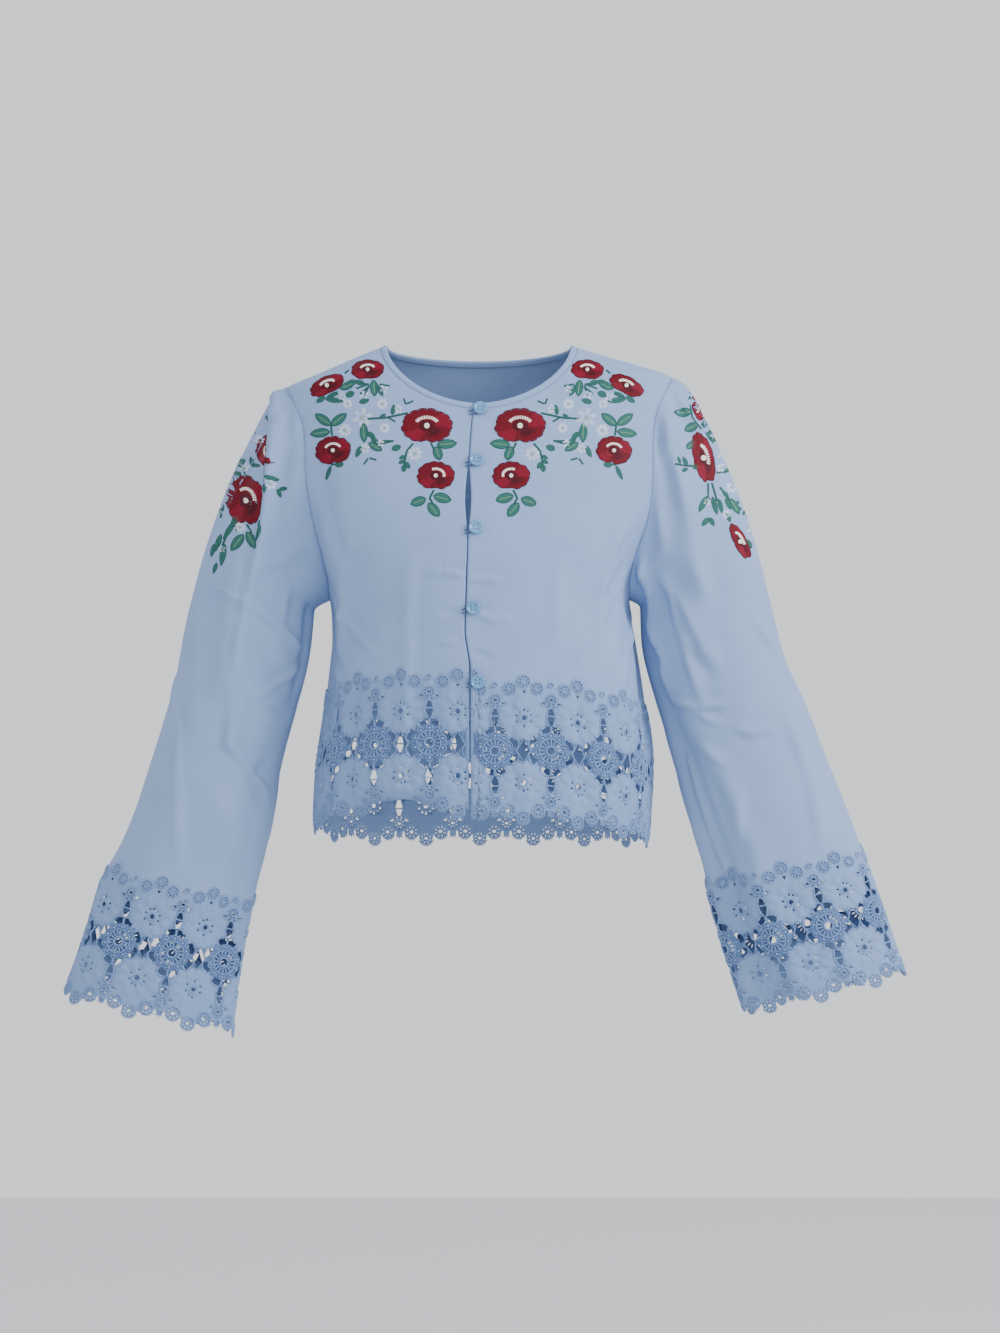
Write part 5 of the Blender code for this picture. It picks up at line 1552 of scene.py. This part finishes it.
class Needlework:
    """Stitches collected by thread colour, in millimetres on the upright plane through the shoulder seams."""

    def __init__(self, seed):
        self.threads = {name: [] for name in THREADS}
        self.random = np.random.default_rng(seed)

    def stitch(self, thread, x, y, turn, length, layer=0.0, wide=1.0):
        """One stitch by its middle, turn and length."""
        self.threads[thread].append((x, y, turn, length, wide, layer))

    def line(self, thread, points, wide=1.0, layer=0.0):
        """Outline stitches along a line of points."""
        points = np.asarray(points, float)
        run = lengths_along(points)
        count = max(1, int(round(run[-1] / 1.8)))
        at = np.linspace(0, run[-1], count + 1)
        x, y = np.interp(at, run, points[:, 0]), np.interp(at, run, points[:, 1])
        for k in range(count):
            turn = np.arctan2(y[k + 1] - y[k], x[k + 1] - x[k])
            self.stitch(thread, (x[k] + x[k + 1]) / 2, (y[k] + y[k + 1]) / 2, turn,
                        1.5 * run[-1] / count, layer, wide)

    def leaf(self, x, y, long, wide, turn):
        """A pointed leaf in slanted satin stitch with a pale vein and a dark edge."""
        axis, side = np.array([np.cos(turn), np.sin(turn)]), np.array([-np.sin(turn), np.cos(turn)])
        centre = np.array([x, y])
        if wide < 3.2:
            self.line("dark_green", [centre - axis * long / 2, centre + axis * long / 2], 1.7)
            return

        def half_width(t):
            return wide / 2 * np.sin(np.pi * np.clip(t / long + 0.5, 0, 1) ** 0.85) ** 0.8

        for t in np.arange(-long / 2 + 0.6, long / 2 - 0.6, 0.8):
            half = max(0.3, half_width(t))
            for way in (1, -1):
                middle = centre + axis * (t + 0.25 * half) + side * way * half * 0.5
                self.stitch("green", *middle, turn + way * np.radians(62), half * 1.2 + 0.5)
        along = np.linspace(-long / 2, long / 2, 15)
        for way in (1, -1):
            self.line("dark_green", [centre + axis * t + side * way * half_width(t) * 0.95 for t in along],
                      0.95 if way > 0 else 0.75, 0.3)
        self.line("pale_green" if wide > 6 else "dark_green",
                  [centre - axis * long * 0.36, centre + axis * long * 0.3], 0.45, 0.35)

    def rose(self, x, y, wide, tall, turn, face):
        """A garden rose: two front petals below a wide back petal, scalloped, with white stamens."""
        cos, sin = np.cos(turn), np.sin(turn)
        size = max(wide, tall)
        scallops = max(9, int(round((wide + tall) / 5.4)))

        def reach(angle):
            notches = ((-1.62, 0.24, 0.15), (1.05, 0.13, 0.07), (3.0, 0.15, 0.08), (-0.25, 0.13, 0.05))
            dips = sum(depth * np.exp(-((angle - middle) / spread) ** 2)
                       for middle, spread, depth in notches)
            return 1 - 0.07 * (1 - np.abs(np.sin(scallops * angle / 2))) ** 1.5 - dips

        def at(angle, share):
            across, up = share * np.cos(angle) * wide / 2, share * np.sin(angle) * tall / 2
            return np.array([across * cos - up * sin + x, across * sin + up * cos + y])

        def put(thread, angle, low, high, layer, stitch_wide=1.0):
            near, far = at(angle, low), at(angle, high)
            way = far - near
            turned = np.arctan2(way[1], way[0])
            self.stitch(thread, *(near + far) / 2, turned, np.hypot(*way), layer, stitch_wide)

        def tone(angle, share):
            if share < 0.35 or (-1.5 < angle < -0.4 and share < 0.7):
                return "deep_red"
            if -0.1 < angle < 1.0 or -2.7 < angle < -1.9:
                return "bright_red"
            return "red"

        for low, high, layer in ((0.0, 0.38, 0.0), (0.28, 0.72, 0.1), (0.6, 0.99, 0.2)):
            count = int(np.pi * (wide + tall) / 2 * high / 0.8)
            for angle in 2 * np.pi * np.arange(count) / count - np.pi:
                shake = self.random.uniform(-0.04, 0.04)
                edge = reach(angle)
                put(tone(angle + 3 * shake, (low + high) / 2 + shake), angle,
                    max(0, low + shake) * edge, (high + shake * (high < 0.9)) * edge, layer)
        turns = np.linspace(-np.pi, np.pi, 12 * scallops // 2)
        self.line("deep_red", [at(angle, reach(angle) * 0.985) for angle in turns], 0.7, 0.45)
        folds = (-1.62, 0.25, 0.84), (1.05, 0.6, 0.93), (3.0, 0.45, 0.92), (-0.25, 0.4, 0.95)
        for angle, low, high in folds:
            self.line("deep_red", [at(angle + 0.12 * np.cos(3 * share), share)
                                   for share in np.linspace(low, high, 6)], 0.8, 0.35)
        radius = size * 0.07
        for spread, thread, layer in ((1.55, "deep_red", 0.4), (1.0, "white", 0.7)):
            for k in range(6):
                self.stitch(thread, x, y, np.pi * k / 6, 2.1 * radius * spread, layer + 0.05 * k, 1.1)
        self.stitch("pale_green", x, y, turn, radius * 0.7, 1.2, 0.8)
        for angle in np.linspace(face - 1.05, face + 1.05, 11):
            spot = at(angle, 0.43) + np.array([-sin, cos]) * 0.02 * tall
            self.stitch("white", *spot, angle + turn, size * 0.075, 0.8, 1.4)

    def blossom(self, x, y, radius, petals):
        """A small pale blossom with a green-yellow middle."""
        for k in range(petals):
            angle = 2 * np.pi * (k + 0.3) / petals
            for offset in (-0.2, 0.2):
                self.stitch("pale_blue", x + radius * 0.6 * np.cos(angle + offset),
                            y + radius * 0.6 * np.sin(angle + offset), angle, radius * 0.8, 0.1, 1.0)
            if radius > 5 or k % 2:
                self.stitch("white", x + radius * 0.62 * np.cos(angle), y + radius * 0.62 * np.sin(angle),
                            angle, radius * 0.5, 0.35, 0.6)
        for angle in (0, np.pi / 3, 2 * np.pi / 3):
            self.stitch("pale_green", x, y, angle, radius * 0.42, 0.3, 0.9)

    def sew(self, name, seen, sizes, edge=None):
        """The collected stitches that show, as one piece for each thread colour."""
        place, reached = seen
        for thread, rows in self.threads.items():
            rows = np.array(rows).reshape(-1, 6)
            shown = reached(rows[:, 0] * MM, rows[:, 1] * MM)
            if edge is not None:
                shown &= rows[:, 0] * MM < np.interp(-rows[:, 1] * MM, edge["down"], edge["across"])
            rows = rows[shown]
            if not len(rows):
                continue
            full = np.column_stack([
                rows[:, 0] * MM, rows[:, 1] * MM, rows[:, 2], rows[:, 3] * MM,
                rows[:, 4] * sizes.stitch_width, np.full(len(rows), sizes.stitch_height),
                rows[:, 5] * sizes.stitch_height,
            ])
            piece = stitched(full, place, embroidery_thread(thread), f"embroidery_{name}_{thread}")


def seen_place(surface, smooth, guess, across_window, up_window, low, high, way):
    """Places on a surface behind places of the picture plane, found on its smooth form over a window."""
    step = 2 * MM
    across = np.arange(*across_window, step)
    up = np.arange(*up_window, step)
    target = np.stack(np.meshgrid(across, up), axis=-1).reshape(-1, 2)
    u, v = guess(target[:, 0], target[:, 1])
    for _ in range(8):
        here = on_picture(smooth(u, v))
        du = (on_picture(smooth(u + 0.004, v)) - here) / 0.004
        dv = (on_picture(smooth(u, v + 0.4 * MM)) - here) / (0.4 * MM)
        gap = target - here
        det = du[:, 0] * dv[:, 1] - du[:, 1] * dv[:, 0]
        det = np.where(np.abs(det) < 0.012, np.where(det < 0, -0.012, 0.012), det)
        move_u = (gap[:, 0] * dv[:, 1] - gap[:, 1] * dv[:, 0]) / det
        move_v = (du[:, 0] * gap[:, 1] - du[:, 1] * gap[:, 0]) / det
        u = np.clip(u + np.clip(move_u, -0.15, 0.15), low[0], high[0])
        v = np.clip(v + np.clip(move_v, -12 * MM, 12 * MM), low[1], high[1])
    found = np.stack([u, v], axis=-1).reshape(len(up), len(across), 2)
    missed = np.linalg.norm(target - on_picture(smooth(u, v)), axis=-1).reshape(len(up), len(across))

    def cell(x, z):
        column = np.clip((x - across[0]) / step, 0, len(across) - 1.001)
        row = np.clip((z - up[0]) / step, 0, len(up) - 1.001)
        i, j = column.astype(int), row.astype(int)
        return i, j, (column - i)[:, None], (row - j)[:, None]

    def reached(x, z):
        i, j, _, _ = cell(x, z)
        worst = np.maximum(np.maximum(missed[j, i], missed[j, i + 1]),
                           np.maximum(missed[j + 1, i], missed[j + 1, i + 1]))
        return worst < 2 * MM

    def place(x, z, lift):
        i, j, p, q = cell(x, z)
        at = ((1 - q) * ((1 - p) * found[j, i] + p * found[j, i + 1])
              + q * ((1 - p) * found[j + 1, i] + p * found[j + 1, i + 1]))
        return moved_out(surface, at[:, 0], at[:, 1], lift + SHOWN_LIFT, way)
    return place, reached


def on_picture(points):
    """Where the camera sees points, on the upright plane through the shoulder seams."""
    share = CAMERA_DISTANCE / (CAMERA_DISTANCE + points[..., 1])
    return np.stack([CAMERA_ACROSS + (points[..., 0] - CAMERA_ACROSS) * share,
                     CAMERA_HEIGHT + (points[..., 2] - CAMERA_HEIGHT) * share], axis=-1)


def body_seen(side):
    """Places on one front of the body by what the camera sees."""
    def guess(x, z):
        height = np.clip(z, -0.5, -4 * MM)
        return angle_at(x * 0.96, height), height

    window = (2 * MM, 188 * MM) if side > 0 else (-188 * MM, -2 * MM)
    return seen_place(body, partial(body, creased=False), guess, window, (-184 * MM, -4 * MM),
                      (-1.5, -0.5), (1.5, -2 * MM), 1)


def sleeve_seen(side):
    """Places on the front of a sleeve by what the camera sees."""
    smooth = partial(sleeve, side, creased=False)
    u, v = np.meshgrid(np.radians(np.linspace(-75, 95, 60)), np.linspace(-92 * MM, 200 * MM, 90))
    seen = on_picture(smooth(u, v)).reshape(-1, 2)

    def guess(x, z):
        places = np.stack([x, z], axis=-1)
        found = np.concatenate([np.argmin(np.sum((places[k:k + 400, None] - seen) ** 2, axis=-1), axis=1)
                                for k in range(0, len(places), 400)])
        return u.ravel()[found], v.ravel()[found]

    window = (190 * MM, 290 * MM) if side > 0 else (-290 * MM, -190 * MM)
    return seen_place(partial(sleeve, side), smooth, guess, window, (-236 * MM, -40 * MM),
                      (-1.5, -94 * MM), (1.7, 250 * MM), -side)


def rows_of(design):
    """Rows of a design table as tuples."""
    return list(zip(*(design[name] for name in design)))


def sew_design(work, design, mirror):
    """Stitch a design, mirrored about the opening for the other front."""
    def at(x, y):
        if not mirror:
            return (x + max(0, -x - NARROW_BEYOND) * NARROWED) / MM, y / MM
        return (-x - np.interp(-y, MIRROR_HEIGHTS, MIRROR_SHIFTS)) / MM, y / MM

    def turned(angle):
        return np.pi - angle if mirror else angle

    for x, y, to_x, to_y in rows_of(design["stems"]):
        work.line("dark_green", [at(x, y), at(to_x, to_y)], 1.9)
    for x, y, long, wide, turn in rows_of(design["leaves"]):
        work.leaf(*at(x, y), long / MM, wide / MM, turned(turn))
    for x, y, radius, petals in rows_of(design["blossoms"]):
        work.blossom(*at(x, y), radius / MM, int(round(petals / MM)))
    for x, y, wide, tall, turn, face in rows_of(design["roses"]):
        tilt = -turn if mirror else turn
        work.rose(*at(x, y), wide / MM, tall / MM, tilt, turned(face))


class BLOUSE_OT_embroidery(bpy.types.Operator):
    """Roses, leaves and small blossoms on the yoke and the sleeves"""
    bl_idname = "blouse.embroidery"
    bl_label = "Embroidery"

    def execute(self, context):
        sizes = context.scene.blouse_sizes
        for name, side in (("right_front", -1), ("left_front", 1)):
            work = Needlework(12 + side)
            sew_design(work, YOKE, side > 0)
            work.sew(name, body_seen(side), sizes)
        for name, side, design in (("right_sleeve", -1, RIGHT_SLEEVE), ("left_sleeve", 1, LEFT_SLEEVE)):
            work = Needlework(21 + side)
            sew_design(work, design, False)
            work.sew(name, sleeve_seen(side), sizes, PLEAT_EDGE if side < 0 else None)
        return {"FINISHED"}


# Sewing stitches

def stitch_row(points, stitch):
    """Running stitches along a line of flat places, as rows for `stitched`."""
    run = lengths_along(points)
    at = np.arange(stitch / 2, run[-1], stitch * 1.35)

    def place(length):
        return np.column_stack([np.interp(length, run, points[:, k]) for k in (0, 1)])

    ahead = place(at + 0.5 * MM) - place(at - 0.5 * MM)
    size = np.tile([stitch, SEWN_WIDTH, SEWN_HEIGHT, 0], (len(at), 1))
    return np.column_stack([place(at), np.arctan2(ahead[:, 1], ahead[:, 0]), size])


class BLOUSE_OT_sewing(bpy.types.Operator):
    """Running stitches beside the neck edge and the front edges, and along the facings"""
    bl_idname = "blouse.sewing"
    bl_label = "Sewing"

    def execute(self, context):
        stitch = context.scene.blouse_sizes.seam_stitch

        def place(across, up, lift):
            return moved_out(body, across / FLAT_RADIUS, true_height(up), lift + SHOWN_LIFT)

        lines = []
        for side in (-1, 1):
            height = np.linspace(-0.075, -0.335, 80)
            lines.append((angle_at(opening_x(height, side) + side * FACING, height), height))
            edge_height = np.linspace(-0.066, -0.335, 80)
            edge_x = opening_x(edge_height, side) + side * EDGE_STITCH
            lines.append((angle_at(edge_x, edge_height), edge_height))
        lines.append(neck_round(BINDING_WIDTH + 1.2 * MM))
        rows = np.concatenate([
            stitch_row(np.column_stack([angle * FLAT_RADIUS, flat_height(height)]), stitch)
            for angle, height in lines])
        piece = stitched(rows, place, spun_thread("cotton_sewing_thread", SEWING_COLOUR, 0.7), "sewing_body")
        return {"FINISHED"}


# Buttons and loops

def button_points(steps=40):
    """A turned button with a raised rim, closed, with its underside at zero height."""
    profile = rows_of(BUTTON_PROFILE)
    points, faces = [(0, 0, profile[0][1])], []
    rings = profile[1:-1]
    for radius, height in rings:
        points += [(radius * np.cos(t), radius * np.sin(t), height)
                   for t in 2 * np.pi * np.arange(steps) / steps]
    points.append((0, 0, profile[-1][1]))
    for i in range(steps):
        ahead = (i + 1) % steps
        faces.append((0, 1 + i, 1 + ahead))
        for r in range(len(rings) - 1):
            base = 1 + r * steps
            faces.append((base + i, base + steps + i, base + steps + ahead, base + ahead))
        base = 1 + (len(rings) - 1) * steps
        faces.append((base + ahead, base + i, len(points) - 1))
    return points, faces


def front_place(x, height, out):
    """A point above the front at x and height."""
    return moved_out(body, angle_at(x, height), height, out)


class BLOUSE_OT_buttons(bpy.types.Operator):
    """Four-hole buttons with their thread, and the loops that hold them"""
    bl_idname = "blouse.buttons"
    bl_label = "Buttons and loops"

    def execute(self, context):
        shape = self.drilled()
        pearl = pearl_plastic("pearl_polyester", BUTTON_COLOUR, BUTTON_LIGHT)
        thread = spun_thread("cotton_sewing_thread", SEWING_COLOUR, 0.7)
        loop_thread = spun_thread("cotton_loop_cord", LOOP_COLOUR, 0.7)
        for k, height in enumerate(BUTTONS["height"]):
            x = opening_x(height, 1) + BUTTON_INSET
            centre = front_place(x, height, BUTTON_STAND)
            normal = unit(centre - front_place(x, height, 0))
            across = unit(front_place(x + MM, height, 0) - front_place(x - MM, height, 0))
            up = np.cross(normal, across)
            turn = Matrix((across, up, normal)).transposed().to_4x4()
            place = Matrix.Translation(centre) @ turn
            mesh = shape.copy()
            mesh.transform(place)
            mesh.materials.clear()
            mesh.materials.append(pearl)
            button = bpy.data.objects.new(f"pearl_button_{k + 1}", mesh)
            context.scene.collection.objects.link(button)
            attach(button, "root")
            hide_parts(f"button_{k + 1}")
            bars = Relief()
            for y in (-1.7, 1.7):
                bars.cord(np.array([(-1.7, y), (-0.6, y), (0.6, y), (1.7, y)]), 0.7, 0.6, closed=False)
            points = np.concatenate(bars.points) * MM + (0, 0, 2.0 * MM)
            points = points @ np.array(turn.to_3x3()).T + np.array(centre)
            sewn = add_piece(f"button_thread_{k + 1}", points, bars.faces, thread)
            line = bpy.data.curves.new(f"cord_loop_{k + 1}", "CURVE")
            line.dimensions = "3D"
            line.bevel_depth = LOOP_RADIUS
            line.bevel_resolution = 2
            line.use_fill_caps = True
            line.materials.append(loop_thread)
            path = spline_through(LOOP_PATH, 40)
            spline = line.splines.new("POLY")
            spline.points.add(len(path) - 1)
            for point, (over, rise) in zip(spline.points, path):
                point.co = (*front_place(x + over, height + rise, LOOP_LIFT), 1)
            loop = bpy.data.objects.new(f"cord_loop_{k + 1}", line)
            context.scene.collection.objects.link(loop)
            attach(loop, "root")
            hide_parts(f"loop_{k + 1}")
        return {"FINISHED"}

    def drilled(self):
        """The button's mesh with its four holes cut."""
        points, faces = button_points()
        blank = guide("button_blank", points, faces)
        drill = bmesh.new()
        for x, y in ((1, 1), (-1, 1), (-1, -1), (1, -1)):
            bmesh.ops.create_cone(
                drill, cap_ends=True, segments=12, radius1=BUTTON_HOLE_RADIUS, radius2=BUTTON_HOLE_RADIUS,
                depth=8 * MM,
                matrix=Matrix.Translation((BUTTON_HOLE_REACH * x, BUTTON_HOLE_REACH * y, 0)))
        mesh = bpy.data.meshes.new("button_drills")
        drill.to_mesh(mesh)
        drill.free()
        drills = bpy.data.objects.new("button_drills", mesh)
        scene = bpy.context.scene
        scene.collection.objects.link(blank)
        scene.collection.objects.link(drills)
        cut = blank.modifiers.new("holes", "BOOLEAN")
        cut.object = drills
        bpy.context.view_layer.update()
        made = bpy.data.meshes.new_from_object(blank.evaluated_get(bpy.context.evaluated_depsgraph_get()))
        made.shade_smooth()
        made.set_sharp_from_angle(angle=np.radians(35))
        bpy.data.objects.remove(blank)
        bpy.data.objects.remove(drills)
        return made


def spline_through(path, steps):
    """Smooth points through a path table."""
    across, up = path["across"], path["up"]
    run = np.concatenate([[0], np.cumsum(np.hypot(np.diff(across), np.diff(up)))])
    at = np.linspace(0, run[-1], steps)
    return list(zip(curve_through(at, run, across), curve_through(at, run, up)))


# Cloth facts step, which does nothing


class BLOUSE_OT_declare_cloth(bpy.types.Operator):
    """A step that does nothing; the flat cut of the cloth and lace is not stated"""
    bl_idname = "blouse.declare_cloth"
    bl_label = "Cloth facts"

    def execute(self, context):
        return {"FINISHED"}


# Studio

class BLOUSE_OT_studio(bpy.types.Operator):
    """Pale floor, soft lights and the camera"""
    bl_idname = "blouse.studio"
    bl_label = "Studio"

    def execute(self, context):
        scene, studio = context.scene, context.scene.studio_settings
        mesh = bpy.data.meshes.new("floor")
        reach = 3.0
        mesh.from_pydata([(x * reach, y * reach, studio.floor_height)
                          for x, y in ((-1, -1), (1, -1), (1, 1), (-1, 1))], [], [(0, 1, 2, 3)])
        material, tree = new_material("painted_studio_floor")
        add_surface(tree, {"Base Color": linear(FLOOR_COLOUR), "Roughness": 0.9})
        mesh.materials.append(material)
        floor = bpy.data.objects.new("floor", mesh)
        scene.collection.objects.link(floor)
        world = bpy.data.worlds.new("studio")
        world.use_nodes = True
        world.node_tree.nodes.clear()
        sky = add_node(world.node_tree, "ShaderNodeBackground", {
            "Color": linear(WORLD_COLOUR), "Strength": studio.world_light})
        add_node(world.node_tree, "ShaderNodeOutputWorld", {"Surface": sky.outputs[0]})
        scene.world = world
        middle = Vector((0, 0, -0.3))
        for name, place, size, power in (
                ("key_light", Vector((0.3, -2.6, 1.3)), 1.8, studio.key_light),
                ("side_light", Vector((2.4, -1.2, 1.0)), 1.0, studio.side_light)):
            light = bpy.data.lights.new(name, "AREA")
            light.size = size
            light.energy = power
            lamp = bpy.data.objects.new(name, light)
            lamp.location = place
            lamp.rotation_euler = (middle - place).to_track_quat("-Z", "Y").to_euler()
            scene.collection.objects.link(lamp)
        data = bpy.data.cameras.new("camera")
        data.lens = studio.lens
        camera = bpy.data.objects.new("camera", data)
        camera.location = (CAMERA_ACROSS, -studio.distance, studio.camera_height)
        camera.rotation_euler = (np.pi / 2, 0, 0)
        scene.collection.objects.link(camera)
        scene.camera = camera
        return {"FINISHED"}


class BLOUSE_PT_panel(bpy.types.Panel):
    """The blouse's tools in the 3D view's sidebar"""
    bl_idname = "BLOUSE_PT_panel"
    bl_label = "Embroidered blouse"
    bl_space_type = "VIEW_3D"
    bl_region_type = "UI"
    bl_category = "Blouse"

    def draw(self, context):
        layout = self.layout
        for group in (context.scene.blouse_sizes, context.scene.studio_settings):
            for name in group.__annotations__:
                layout.prop(group, name)
        for operator in OPERATORS:
            layout.operator(operator.bl_idname)


OPERATORS = (
    BLOUSE_OT_body, BLOUSE_OT_neck_edge, BLOUSE_OT_sleeves, BLOUSE_OT_hem_lace, BLOUSE_OT_cuff_lace,
    BLOUSE_OT_embroidery, BLOUSE_OT_sewing, BLOUSE_OT_buttons, BLOUSE_OT_declare_cloth, BLOUSE_OT_studio,
)
CLASSES = (BlouseSizes, StudioSettings, *OPERATORS, BLOUSE_PT_panel)


def register():
    """Add the classes and their settings."""
    for kind in CLASSES:
        bpy.utils.register_class(kind)
    bpy.types.Scene.blouse_sizes = bpy.props.PointerProperty(type=BlouseSizes)
    bpy.types.Scene.studio_settings = bpy.props.PointerProperty(type=StudioSettings)


def unregister():
    """Take the classes and their settings away."""
    del bpy.types.Scene.studio_settings
    del bpy.types.Scene.blouse_sizes
    for kind in reversed(CLASSES):
        bpy.utils.unregister_class(kind)


def main():
    """Make everything in order."""
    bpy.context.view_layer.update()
    register()
    bpy.ops.blouse.body()
    bpy.ops.blouse.neck_edge()
    bpy.ops.blouse.sleeves()
    bpy.ops.blouse.hem_lace()
    bpy.ops.blouse.cuff_lace()
    bpy.ops.blouse.embroidery()
    bpy.ops.blouse.sewing()
    bpy.ops.blouse.buttons()
    bpy.ops.blouse.declare_cloth()
    bpy.ops.blouse.studio()


if __name__ == "__main__":
    main()
